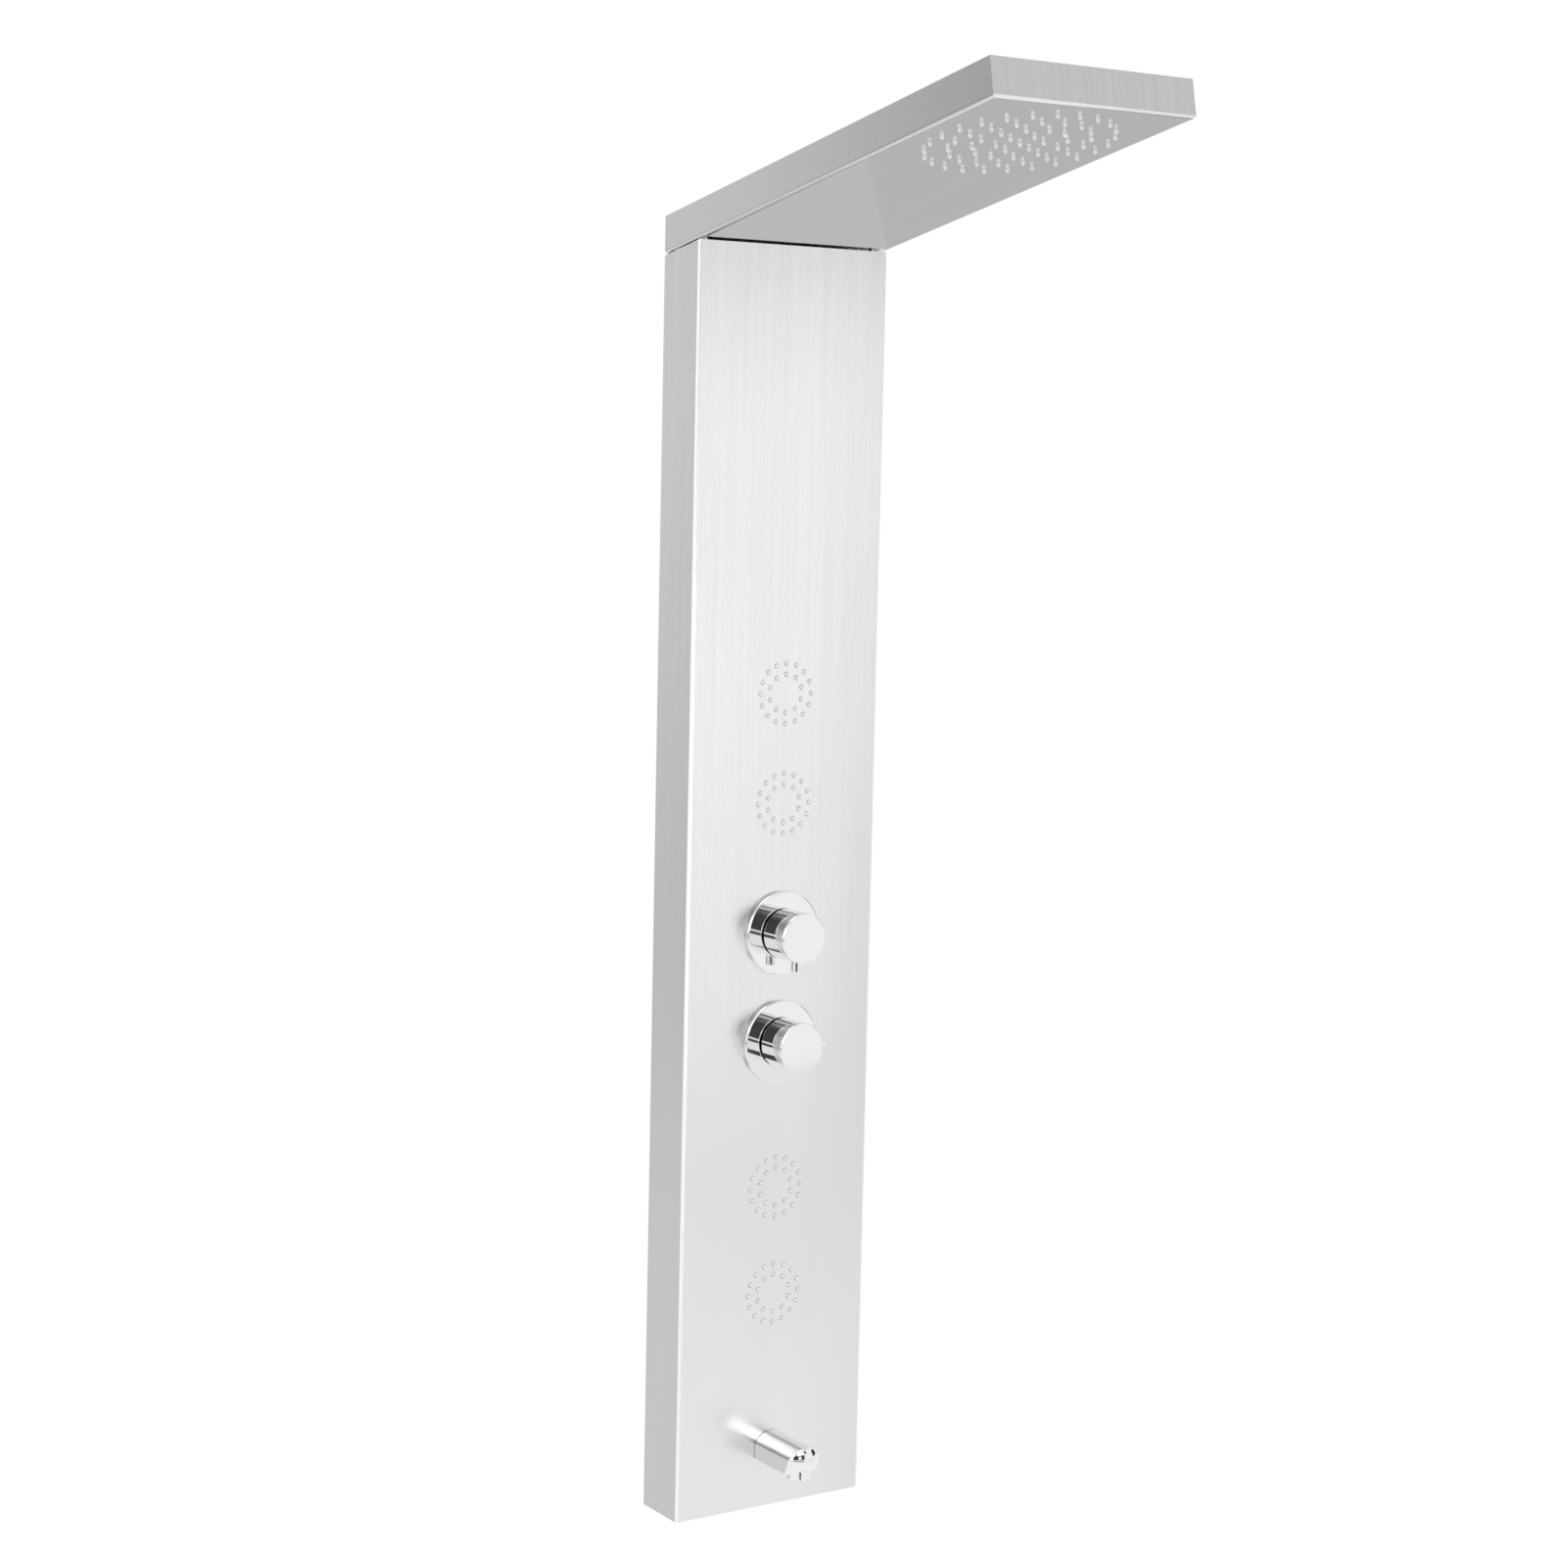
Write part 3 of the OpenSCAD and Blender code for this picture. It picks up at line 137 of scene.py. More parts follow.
# one node tree of a material or the world
class Paint:
    def __init__(self, owner):
        owner.use_nodes = True
        self.owner, self.tree = owner, owner.node_tree
        self.tree.nodes.clear()

    # adds a node, sets its settings, then fills its sockets; gives back one output, or a list of those named
    def node(self, kind, settings=None, sockets=None, output=0):
        node = self.tree.nodes.new(kind)
        for name, value in (settings or {}).items():
            setattr(node, name, value)
        for name, value in (sockets or {}).items():
            if isinstance(value, Socket):
                self.tree.links.new(value.output, node.inputs[name])
            else:
                node.inputs[name].default_value = value
        if isinstance(output, tuple):
            return [Socket(self.tree, node.outputs[name]) for name in output]
        return Socket(self.tree, node.outputs[output]) if node.outputs else None

    # object coordinates, turned by degrees, then stretched
    def place(self, stretch, turn=(0, 0, 0)):
        coordinate = self.node("ShaderNodeTexCoord", output="Object")
        if any(turn):
            turned = {"Vector": coordinate, "Rotation": tuple(np.radians(turn))}
            coordinate = self.node("ShaderNodeMapping", {}, turned)
        return self.node("ShaderNodeMapping", {}, {"Vector": coordinate, "Scale": stretch})

    # object coordinates as three numbers
    def axes(self):
        coordinate = self.node("ShaderNodeTexCoord", output="Object")
        return self.node("ShaderNodeSeparateXYZ", {}, {"Vector": coordinate}, ("X", "Y", "Z"))

    def noise(self, place, detail=2, roughness=0.5):
        sockets = {"Vector": place, "Scale": 1, "Detail": detail, "Roughness": roughness}
        return self.node("ShaderNodeTexNoise", {}, sockets, "Fac")

    def blendColours(self, factor, first, second):
        sockets = {0: factor, 6: (*first, 1), 7: (*second, 1)}
        return self.node("ShaderNodeMix", {"data_type": "RGBA"}, sockets, 2)

    # grey of a tone, with its blue a little stronger
    def grey(self, tone, blue):
        return self.node("ShaderNodeCombineColor", {}, {"Red": tone, "Green": tone, "Blue": tone * blue})

    def bump(self, height, strength, distance):
        return self.node("ShaderNodeBump", {}, {"Height": height, "Strength": strength, "Distance": distance})

    # even light of a strength, out of a whole surface
    def glow(self, strength):
        return self.node("ShaderNodeEmission", {}, {"Color": (1, 1, 1, 1), "Strength": strength})

    # 1 for rays straight from the camera, and 1 for those and all that mirrors or clear things send on
    def seenRays(self):
        names = ("Is Camera Ray", "Is Glossy Ray", "Is Transmission Ray")
        camera, mirrored, through = self.node("ShaderNodeLightPath", output=names)
        return camera, (camera + mirrored + through).clamped()

    # lets rays through that meet the back of a face, as far as the share says
    def clearFromBehind(self, surface, share):
        behind = self.node("ShaderNodeNewGeometry", output="Backfacing") * share
        clear = self.node("ShaderNodeBsdfTransparent", {}, {"Color": (1, 1, 1, 1)})
        return self.node("ShaderNodeMixShader", {}, {0: behind, 1: surface, 2: clear})

    def wear(self, surface):
        self.node("ShaderNodeOutputMaterial", {}, {"Surface": surface})
        return self.owner

    # main surface shader; a socket is named as one word, as coatWeight for Coat Weight
    def finish(self, **sockets):
        named = {}
        for name, value in sockets.items():
            words = "".join(" " + letter if letter.isupper() else letter for letter in name)
            named[words.title()] = value
        return self.wear(self.node("ShaderNodeBsdfPrincipled", {}, named))


def newPaint(name):
    return Paint(bpy.data.materials.new(name))


# brushed sheets: tone is the light that the steel gives back; a Scale and an Along are noise cells per metre
# across and along the brushing; painted shades darken the right border and the low end of the column
brushedLook = {
    "tone": 0.86, "blue": 1.004, "roughness": 0.27, "roughnessSpread": 0.04,
    "lines": 0.13, "lineScale": 1000, "lineAlong": 7,
    "streaks": 0.13, "streakScale": 210, "streakAlong": 3,
    "bands": 0.03, "bandScale": 22, "bandAlong": 1,
    "calm": 0.1, "calmFrom": 0.3, "calmTo": 1.1,
    "rightPaintedShade": 0, "rightFrom": 0.02, "rightTo": 0.09,
    "lowPaintedShade": 0, "lowFrom": 1.0, "lowTo": 0.65,
    "lineBump": 0.6, "streakBump": 0.4, "bumpStrength": 0.04, "bumpDepth": 0.00005,
}
# the column's steel, with painted shade towards its right border and towards its low end
columnLook = {**brushedLook, "tone": 0.89, "rightPaintedShade": 0.05, "lowPaintedShade": 0.075}
# the bends' steel: a lighter, rougher copy, a painted highlight along the folded edges
foldHighlightLook = {**brushedLook, "tone": 0.99, "lines": 0.02, "streaks": 0.02, "roughness": 0.5}
armLook = {**brushedLook, "lines": 0.05, "streaks": 0.05, "roughness": 0.13}
lidLook = {**brushedLook, "lines": 0.05, "streaks": 0.05, "roughness": 0.42}
lipLook = {**brushedLook, "lines": 0.12, "streaks": 0.12, "roughness": 0.22}

# the arm's slope, and its own directions up and out
armTurn = (11.1, 0, 0)
armSlope = np.radians(armTurn[0])
armUp = np.array([0, np.sin(armSlope), np.cos(armSlope)])
armOut = np.array([0, -np.cos(armSlope), np.sin(armSlope)])


# brushed sheet: tone plus fine lines, wider streaks and broad bands, each its share times a noise less half,
# less the painted shades; lines and streaks are calm low down and reach full strength with height
def brushedSteel(name, along, turn=(0, 0, 0), look=brushedLook):
    paint = newPaint(name)

    # noise with one scale across the brushing and a much smaller one along it
    def drawnOut(kind):
        stretch = tuple(look[kind + "Along"] if axis == along else look[kind + "Scale"] for axis in "xyz")
        return paint.noise(paint.place(stretch, turn))

    lines, streaks, bands = drawnOut("line"), drawnOut("streak"), drawnOut("band")
    x, _, z = paint.axes()
    strength = look["calm"] + (1 - look["calm"]) * z.share(look["calmFrom"], look["calmTo"])
    fine = (look["lines"] * (lines - 0.5) + look["streaks"] * (streaks - 0.5)) * strength
    # painted shade: the tone falls towards the right border and towards the low end
    rightPaintedShade = look["rightPaintedShade"] * x.share(look["rightFrom"], look["rightTo"])
    lowPaintedShade = look["lowPaintedShade"] * z.share(look["lowFrom"], look["lowTo"])
    tone = look["tone"] + fine + look["bands"] * (bands - 0.5) - (rightPaintedShade + lowPaintedShade)
    rough = look["roughness"] + look["roughnessSpread"] * (lines + streaks - 1) * strength
    height = (lines * look["lineBump"] + streaks * look["streakBump"]) * strength
    return paint.finish(baseColor=paint.grey(tone, look["blue"]), metallic=1.0, roughness=rough,
                        normal=paint.bump(height, look["bumpStrength"], look["bumpDepth"]))


chromeLook = {"blue": 1.008, "hazeScale": (60, 60, 60), "wipeScale": (900, 120, 900), "hazeTone": 0.02,
              "roughness": 0.045, "hazeRoughness": 0.03, "wipeRoughness": 0.02,
              "bumpStrength": 0.02, "bumpDepth": 0.0002}


# chrome: tone plus a faint cloudy haze; roughness grows with the haze and with fine marks of wiping
def chromePlate(name, tone, look=chromeLook):
    paint = newPaint(name)
    haze = paint.noise(paint.place(look["hazeScale"]), detail=3)
    wipe = paint.noise(paint.place(look["wipeScale"]))
    colour = paint.grey(tone + look["hazeTone"] * (haze - 0.5), look["blue"])
    rough = look["roughness"] + look["hazeRoughness"] * haze + look["wipeRoughness"] * wipe
    return paint.finish(baseColor=colour, metallic=1.0, roughness=rough,
                        normal=paint.bump(haze, look["bumpStrength"], look["bumpDepth"]))


turnedLook = {"grainScale": (700, 700, 700), "stainScale": (35, 35, 35), "grainRoughness": 0.12,
              "stainRoughness": 0.1, "bumpStrength": 0.1, "bumpDepth": 0.0001}


# turned or cast metal: colour goes from dark to full with slow stains; roughness adds fine grain and stains
def turnedMetal(name, colour, darkShare, roughness, look=turnedLook):
    paint = newPaint(name)
    grain = paint.noise(paint.place(look["grainScale"]), detail=3)
    stain = paint.noise(paint.place(look["stainScale"]), detail=4, roughness=0.6)
    dark = tuple(channel * darkShare for channel in colour)
    mixed = paint.blendColours((stain * 1.2 - 0.1).clamped(), dark, colour)
    rough = roughness + look["grainRoughness"] * (grain - 0.5) + look["stainRoughness"] * (stain - 0.5)
    return paint.finish(baseColor=mixed, metallic=1.0, roughness=rough,
                        normal=paint.bump(grain, look["bumpStrength"], look["bumpDepth"]))


mouldedLook = {"grainScale": (1500, 1500, 1500), "cloudScale": (40, 40, 40), "darkShare": 0.93,
               "grainRoughness": 0.1, "bumpStrength": 0.15}


# moulded or pressed piece: colour goes from a little darker to full with slow clouds; roughness adds grain
def moulded(name, colour, roughness, grainDepth, look=mouldedLook):
    paint = newPaint(name)
    grain = paint.noise(paint.place(look["grainScale"]))
    cloud = paint.noise(paint.place(look["cloudScale"]), detail=3)
    darker = tuple(channel * look["darkShare"] for channel in colour)
    mixed = paint.blendColours(cloud, darker, colour)
    rough = roughness + look["grainRoughness"] * (grain - 0.5)
    return paint.finish(baseColor=mixed, metallic=0.0, roughness=rough,
                        normal=paint.bump(grain, look["bumpStrength"], grainDepth))


nubLook = {"shadeAtSheet": (0.88, 0.88, 0.89), "atTip": (1.0, 1.0, 1.0), "metallic": 0.2, "coat": 0.15,
           "roughness": 0.3, "grainRoughness": 0.08, "grainScale": (1500, 1500, 1500),
           "bumpStrength": 0.1, "bumpDepth": 0.00002}


# soft nubs: pale silicone, greyer at the sheet and whiter to the tip by the distance along one direction, a
# painted shade at the root and a painted highlight at the tip; sheetAt is that distance at the sheet's outer
# face
def nubSilicone(name, direction, sheetAt, reach, look=nubLook):
    paint = newPaint(name)
    x, y, z = paint.axes()
    out = x * direction[0] + y * direction[1] + z * direction[2] - sheetAt
    share = (out / reach).clamped()
    grain = paint.noise(paint.place(look["grainScale"]))
    # painted shade at the root that turns into a painted highlight at the tip
    mixed = paint.blendColours(share, look["shadeAtSheet"], look["atTip"])
    return paint.finish(baseColor=mixed, metallic=look["metallic"] * share, coatWeight=look["coat"],
                        roughness=look["roughness"] + look["grainRoughness"] * (grain - 0.5),
                        normal=paint.bump(grain, look["bumpStrength"], look["bumpDepth"]))


hoseLook = {"strands": 1900, "tone": 0.34, "strandTone": 0.34, "blue": 1.02, "roughness": 0.42,
            "strandShine": 0.12, "bumpStrength": 0.6, "bumpDepth": 0.0004}


# braided hose: the product of two sines, of z plus x and y and of z less x and y, gives two slanting sets of
# strands; tone grows with it and roughness falls
def braidedHose(name, look=hoseLook):
    paint = newPaint(name)
    x, y, z = paint.axes()
    first, second = (z + x + y) * look["strands"], (z - x - y) * look["strands"]
    weave = first.sine() * second.sine() * 0.5 + 0.5
    colour = paint.grey(look["tone"] + look["strandTone"] * weave, look["blue"])
    rough = look["roughness"] - look["strandShine"] * weave
    return paint.finish(baseColor=colour, metallic=1.0, roughness=rough,
                        normal=paint.bump(weave, look["bumpStrength"], look["bumpDepth"]))


paints = {
    "columnSteel": brushedSteel("columnSteel", "z", look=columnLook),
    "armSteel": brushedSteel("armSteel", "y", armTurn, armLook),
    "foldHighlightSteel": brushedSteel("foldHighlightSteel", "z", look=foldHighlightLook),
    "lipSteel": brushedSteel("lipSteel", "z", armTurn, lipLook),
    "lidSteel": brushedSteel("lidSteel", "y", armTurn, lidLook),
    "bracketSteel": turnedMetal("bracketSteel", (0.62, 0.63, 0.65), 0.85, 0.38),
    "fastenerSteel": turnedMetal("fastenerSteel", (0.70, 0.70, 0.71), 0.85, 0.28),
    "chromePlate": chromePlate("chromePlate", 0.842),
    # painted shade: a darker copy of the chrome for the spout's flat sides
    "spoutSide": chromePlate("spoutSide", 0.78),
    # painted shade: a dark chrome for the ring next to the panel, the shade in the groove of the spout's
    # joint
    "spoutJointShade": chromePlate("spoutJointShade", 0.3),
    "castBrass": turnedMetal("castBrass", (0.72, 0.53, 0.24), 0.7, 0.34),
    "rainSilicone": nubSilicone("rainSilicone", tuple(-armUp), -1.119, 0.0032),
    "jetSilicone": nubSilicone("jetSilicone", (0, -1, 0), 0.058, 0.0018),
    "sealRubber": moulded("sealRubber", (0.03, 0.03, 0.032), 0.6, 0.00005),
    "darkPlastic": moulded("darkPlastic", (0.06, 0.063, 0.068), 0.45, 0.00006),
    "whitePlastic": moulded("whitePlastic", (0.82, 0.82, 0.81), 0.35, 0.00003),
    "braidedHose": braidedHose("braidedHose"),
    "ceramicDisc": moulded("ceramicDisc", (0.80, 0.80, 0.77), 0.2, 0.00001),
}
print("materials made:", len(paints))


# grid of quads over rows and columns of points, each wrapped round where it is closed
def gridFaces(rows, columns, closedRows=False, closedColumns=False):
    row = np.arange(rows if closedRows else rows - 1)[:, None]
    column = np.arange(columns if closedColumns else columns - 1)[None, :]
    nextRow, nextColumn = (row + 1) % rows, (column + 1) % columns
    corners = (row * columns + column, row * columns + nextColumn, nextRow * columns + nextColumn,
               nextRow * columns + column)
    return np.stack([np.broadcast_to(c, (row.size, column.size)) for c in corners], -1).reshape(-1, 4)


# turned shape: each profile point (radius, height) goes round the axis; one at radius 0 is a single vertex
def turned(profile, segments):
    profile = np.asarray(profile, float)
    first, last = profile[0, 0] == 0, profile[-1, 0] == 0
    body = profile[(1 if first else 0):(len(profile) - 1 if last else len(profile))]
    angle = 2 * np.pi * np.arange(segments) / segments
    points = np.stack([body[:, :1] * np.cos(angle), body[:, :1] * np.sin(angle),
                       np.repeat(body[:, 1:], segments, 1)], -1).reshape(-1, 3)
    faces = gridFaces(len(body), segments, not first and not last, True).tolist()
    around = np.arange(segments)
    ahead = (around + 1) % segments
    if first:
        faces += np.stack([np.full(segments, len(points)), ahead, around], -1).tolist()
        points = np.vstack([points, [0, 0, profile[0, 1]]])
    if last:
        base = (len(body) - 1) * segments
        faces += np.stack([np.full(segments, len(points)), base + around, base + ahead], -1).tolist()
        points = np.vstack([points, [0, 0, profile[-1, 1]]])
    return points, faces


# arc in a profile: points on a circle between two angles in degrees
def arc(centre, radius, start, end, steps):
    angle = np.radians(np.linspace(start, end, steps + 1))
    return np.stack([centre[0] + radius * np.cos(angle), centre[1] + radius * np.sin(angle)], -1)


# shapes put together into one set of points and faces
def joined(parts):
    points, faces, count = [], [], 0
    for part in parts:
        points.append(part[0])
        faces += [[index + count for index in face] for face in part[1]]
        count += len(part[0])
    return np.vstack(points), faces


# moves a shape made on the z axis to a place, with its z along a direction and its x along another
def placed(shape, origin, xAxis, zAxis):
    x, z = np.array(xAxis, float), np.array(zAxis, float)
    basis = np.stack([x, np.cross(z, x), z])
    return shape[0] @ basis + np.array(origin, float), shape[1]


# edges that turn by more than this many degrees stay sharp
sharpFrom = {"made": 32, "nozzles": 50, "spout": 38, "copied": 28, "hose": 60}


# changes a mesh through a function of its bmesh
def reworked(mesh, work):
    shell = bmesh.new()
    shell.from_mesh(mesh)
    work(shell)
    shell.to_mesh(mesh)
    shell.free()
    return mesh


# makes a mesh a smoothly shaded piece that rides with a body, in place of CAD nodes
def addPiece(name, mesh, paint, body, nodes, angle):
    mesh.materials.clear()
    mesh.materials.append(paints[paint])
    piece = bpy.data.objects.new(name, mesh)
    scene.collection.objects.link(piece)
    mesh.polygons.foreach_set("use_smooth", np.ones(len(mesh.polygons), bool))
    mesh.set_sharp_from_angle(angle=np.radians(angle))
    weighted = piece.modifiers.new("weighted", "WEIGHTED_NORMAL")
    weighted.keep_sharp = True
    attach(piece, body)
    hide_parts(*nodes)
    return piece


def newPiece(name, shape, paint, body, nodes, angle=sharpFrom["made"]):
    mesh = bpy.data.meshes.new(name)
    mesh.from_pydata(shape[0].tolist(), [], shape[1])
    reworked(mesh, lambda shell: bmesh.ops.recalc_face_normals(shell, faces=shell.faces))
    return addPiece(name, mesh, paint, body, nodes, angle)


# a merged copy of a CAD node, so that its curved faces shade smoothly
def finishedCopy(node, name, paint, body, angle=sharpFrom["copied"]):
    mesh = frame["nodes"][node].data.copy()
    mesh.name = name
    reworked(mesh, lambda shell: bmesh.ops.remove_doubles(shell, verts=shell.verts, dist=0.001 * mm))
    return addPiece(name, mesh, paint, body, [node], angle)


def middle(node):
    low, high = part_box(node)
    return (np.array(low) + np.array(high)) / 2


# three numbers of each face of a piece: its normal or its center
def faceRows(piece, kind):
    rows = np.empty(len(piece.data.polygons) * 3)
    piece.data.polygons.foreach_get(kind, rows)
    return rows.reshape(-1, 3)


# gives faces other paints of the piece: 0 keeps the first one, and the others count on from there
def paintFaces(piece, extraPaints, numbers):
    for paint in extraPaints:
        piece.data.materials.append(paints[paint])
    piece.data.polygons.foreach_set("material_index", numbers.astype(np.int32))


# column and arm: the folded sheets
columnTop = {"from": 1.1365, "raise": 0.0018}
# a fold faces partly to the side and partly out; the lip faces mostly out along the arm
foldedFrom, lipFrom = 0.08, 0.8


# raises the column's upper edge to leave the narrow gap that shows under the arm
def raiseTop(piece, look):
    corners = np.empty(len(piece.data.vertices) * 3)
    piece.data.vertices.foreach_get("co", corners)
    corners = corners.reshape(-1, 3)
    corners[:, 2] += look["raise"] * (corners[:, 2] > look["from"])
    piece.data.vertices.foreach_set("co", corners.ravel())


columnSheet = finishedCopy("column_panel", "columnSheet", "columnSteel", "panel")
raiseTop(columnSheet, columnTop)
# painted highlight: faces on the bends take the lighter fold steel
onHighlightedFold = (np.abs(faceRows(columnSheet, "normal")[:, :2]) > foldedFrom).all(1)
paintFaces(columnSheet, ["foldHighlightSteel"], onHighlightedFold)
armSheet = finishedCopy("arm_pan", "armSheet", "armSteel", "panel")
onLip = np.abs(faceRows(armSheet, "normal") @ armOut) > lipFrom
paintFaces(armSheet, ["lipSteel"], onLip)
finishedCopy("arm_lid", "armCover", "lidSteel", "panel")
print("column and arm made")

# flanges, knobs and pins, in heights out of the column's front
frontFace = -58 * mm
controls = {"mixer": {"body": "mixer_control", "pin": (0, 0, -1)},
            "diverter": {"body": "diverter_control", "pin": (1, 0, 0)}}
flangeLook = {"radius": 38.35, "height": 4.8, "edge": 1.4, "backEdge": 0.2, "bore": 8, "skin": 1.2,
              "pocket": 26.75, "seal": 30.75, "sealHeight": 1.4, "segments": 160}
knobLook = {"radius": 23, "back": 7, "front": 38.5, "edge": 1.2, "wall": 3, "backEdge": 0.5, "segments": 144}
pinLook = {"radius": 4, "from": 22.4, "to": 32, "edge": 0.8, "setback": 26, "segments": 48}


# flange: a plate with a rounded rim, bored for the knob and recessed behind for the nut and the seal
def flangeProfile(look):
    r, h, e, b = look["radius"], look["height"], look["edge"], look["backEdge"]
    rim = arc((r - e, h - e), e, 0, 90, 10)
    inner = [(look["bore"], h), (look["bore"], h - look["skin"]), (look["pocket"], h - look["skin"]),
             (look["pocket"], look["sealHeight"]), (look["seal"], look["sealHeight"]), (look["seal"], 0)]
    return np.vstack([[(r - b, 0), (r, b)], rim, inner])


# knob: a cup that is closed in front, with rounded edges
def knobProfile(look):
    r, e, b, w = look["radius"], look["edge"], look["backEdge"], look["wall"]
    front = arc((r - e, look["front"] - e), e, 90, 0, 9)
    back = arc((r - b, look["back"] + b), b, 0, -90, 4)
    inner = [(r - w, look["back"]), (r - w, look["front"] - w), (0, look["front"] - w)]
    return np.vstack([[(0, look["front"])], front, back, inner])


# pin: a rod from inside the knob's wall to a rounded tip
def pinProfile(look):
    r, e = look["radius"], look["edge"]
    tip = arc((r - e, look["to"] - e), e, 90, 0, 6)
    return np.vstack([[(0, look["to"])], tip, [(r, look["from"]), (0, look["from"])]])


for name, control in controls.items():
    height = middle(name + "_flange")[2]
    seat = (0, frontFace, height)
    flange = turned(flangeProfile(flangeLook) * mm, flangeLook["segments"])
    newPiece(name + "Flange", placed(flange, seat, (1, 0, 0), (0, -1, 0)), "chromePlate", "panel",
             [name + "_flange"])
    knob = turned(knobProfile(knobLook) * mm, knobLook["segments"])
    newPiece(name + "Knob", placed(knob, seat, (1, 0, 0), (0, -1, 0)), "chromePlate", control["body"],
             [name + "_knob"])
    pin = turned(pinProfile(pinLook) * mm, pinLook["segments"])
    pinSeat = (0, frontFace - pinLook["setback"] * mm, height)
    newPiece(name + "Pin", placed(pin, pinSeat, (0, 1, 0), control["pin"]), "chromePlate", control["body"],
             [name + "_pin"])
print("controls made")

# nozzles: soft nubs that stand out of the sheets, with their mats behind
rainLook = {"rings": 4, "step": 19.2, "first": -90, "reach": 3.4, "root": 2.4, "tip": 1.25, "bore": 0.5,
            "sheet": 1.2, "mat": 2, "matRadius": 80.8, "centre": 385, "back": 1140.567, "segments": 14}
jetLook = {"outer": 27.25, "outerCount": 16, "inner": 17.4, "innerCount": 10, "first": 90, "reach": 1.8,
           "root": 2.0, "tip": 1.56, "bore": 0.5, "sheet": 1.2, "mat": 2, "matRadius": 31.25, "segments": 12}
nubShape = {"taper": 0.12, "waistShare": 0.45, "waistRise": 0.5, "shoulder": 0.55, "cut": 0.2, "round": 0.15,
            "face": 0.5, "boreShare": 0.8, "boreDepth": 0.9}
matSegments = 72


# nub on the z axis: a cone from inside the mat, with a soft shoulder, a rounded tip and a bore
def nubProfile(look, shape):
    tip, root, reach = look["tip"], look["root"], look["reach"]
    base, bottom = -look["sheet"] - look["mat"] / 2, reach - shape["boreDepth"]
    cone = [(0, base), (root, base), (root - shape["taper"], 0),
            (tip + shape["waistShare"] * (root - tip), reach * shape["waistRise"])]
    rounded = [(tip, reach - shape["shoulder"]), (tip - shape["round"], reach - shape["cut"]),
               (tip - shape["face"], reach)]
    bore = [(look["bore"], reach), (look["bore"] * shape["boreShare"], bottom), (0, bottom)]
    return np.array(cone + rounded + bore)


# places in the mat's plane on rings: each ring's radius, count and first angle
def ringPlaces(rings):
    places = []
    for radius, count, first in rings:
        angle = np.radians(first + 360 * np.arange(count) / count)
        places.append(np.stack([radius * np.cos(angle), radius * np.sin(angle)], -1))
    return np.vstack(places)


# mat: a round plate with one nub on each place of its rings
def nozzleMat(look, rings):
    nub = turned(nubProfile(look, nubShape) * mm, look["segments"])
    nubs = [(nub[0] + np.array([x, y, 0]) * mm, nub[1]) for x, y in ringPlaces(rings)]
    r, front, back = look["matRadius"], -look["sheet"], -look["sheet"] - look["mat"]
    plate = turned(np.array([(0, front), (r, front), (r, back), (0, back)]) * mm, matSegments)
    return joined([plate] + nubs)


jetRings = [(jetLook[ring], jetLook[ring + "Count"], jetLook["first"]) for ring in ("outer", "inner")]
for number in range(1, 5):
    node = f"jet_mat_{number}"
    jets = placed(nozzleMat(jetLook, jetRings), (0, frontFace, middle(node)[2]), (1, 0, 0), (0, -1, 0))
    newPiece(f"jetNozzles{number}", jets, "jetSilicone", "panel", [node], sharpFrom["nozzles"])

# a middle nub, then rings of 6, 12, 18 and 24
ringNumbers = range(1, rainLook["rings"] + 1)
rainRings = [(0, 1, 0)] + [(ring * rainLook["step"], 6 * ring, rainLook["first"]) for ring in ringNumbers]
rainSeat = np.array([0, 0, rainLook["back"] * mm]) + rainLook["centre"] * mm * armOut
rain = placed(nozzleMat(rainLook, rainRings), rainSeat, (1, 0, 0), -armUp)
newPiece("rainNozzles", rain, "rainSilicone", "panel", ["rain_nozzle_mat"], sharpFrom["nozzles"])
print("nozzles made")

# spout: an arched section carried out to a ball nose
spoutLook = {"width": 33.5, "height": 25, "sideShare": 0.6, "floor": 46, "reach": 65.5, "tailRise": 12,
             "noseMargin": 0.4, "edge": 1.2, "nose": 0.9, "turns": 8, "caps": 26, "capsTo": 88,
             "ringShares": (0, 0.012, 0.97), "crownSteps": 240, "archFrom": 8, "archSteps": 96,
             "cornerSteps": 12}
# the flat sides face almost straight out and take a darker chrome, a painted shade, and the joint is the ring
# of faces next to the panel
spoutParts = {"sideFrom": 0.97, "joint": 0.6}


# section with rounded corners: the furthest point of an inset outline in each direction, plus the corner
# radius that way
def spoutSection(look):
    half, side = look["width"] / 2, look["sideShare"] * look["height"]
    rise = look["height"] - side
    arch = (half ** 2 + rise ** 2) / (2 * rise)
    e = look["edge"]
    spread = np.degrees(np.arcsin((half - e) / (arch - e)))
    crown = arc((0, look["height"] - arch), arch - e, 90 - spread, 90 + spread, look["crownSteps"])
    inset = np.vstack([crown, [(-half + e, e), (half - e, e)]])
    right, left = np.linspace(-90, 0, look["cornerSteps"]), np.linspace(180, 270, look["cornerSteps"])
    over = np.linspace(look["archFrom"], 180 - look["archFrom"], look["archSteps"])
    angle = np.radians(np.concatenate([right, over, left]))
    direction = np.stack([np.cos(angle), np.sin(angle)], -1)
    return inset[np.argmax(direction @ inset.T, 1)] + e * direction


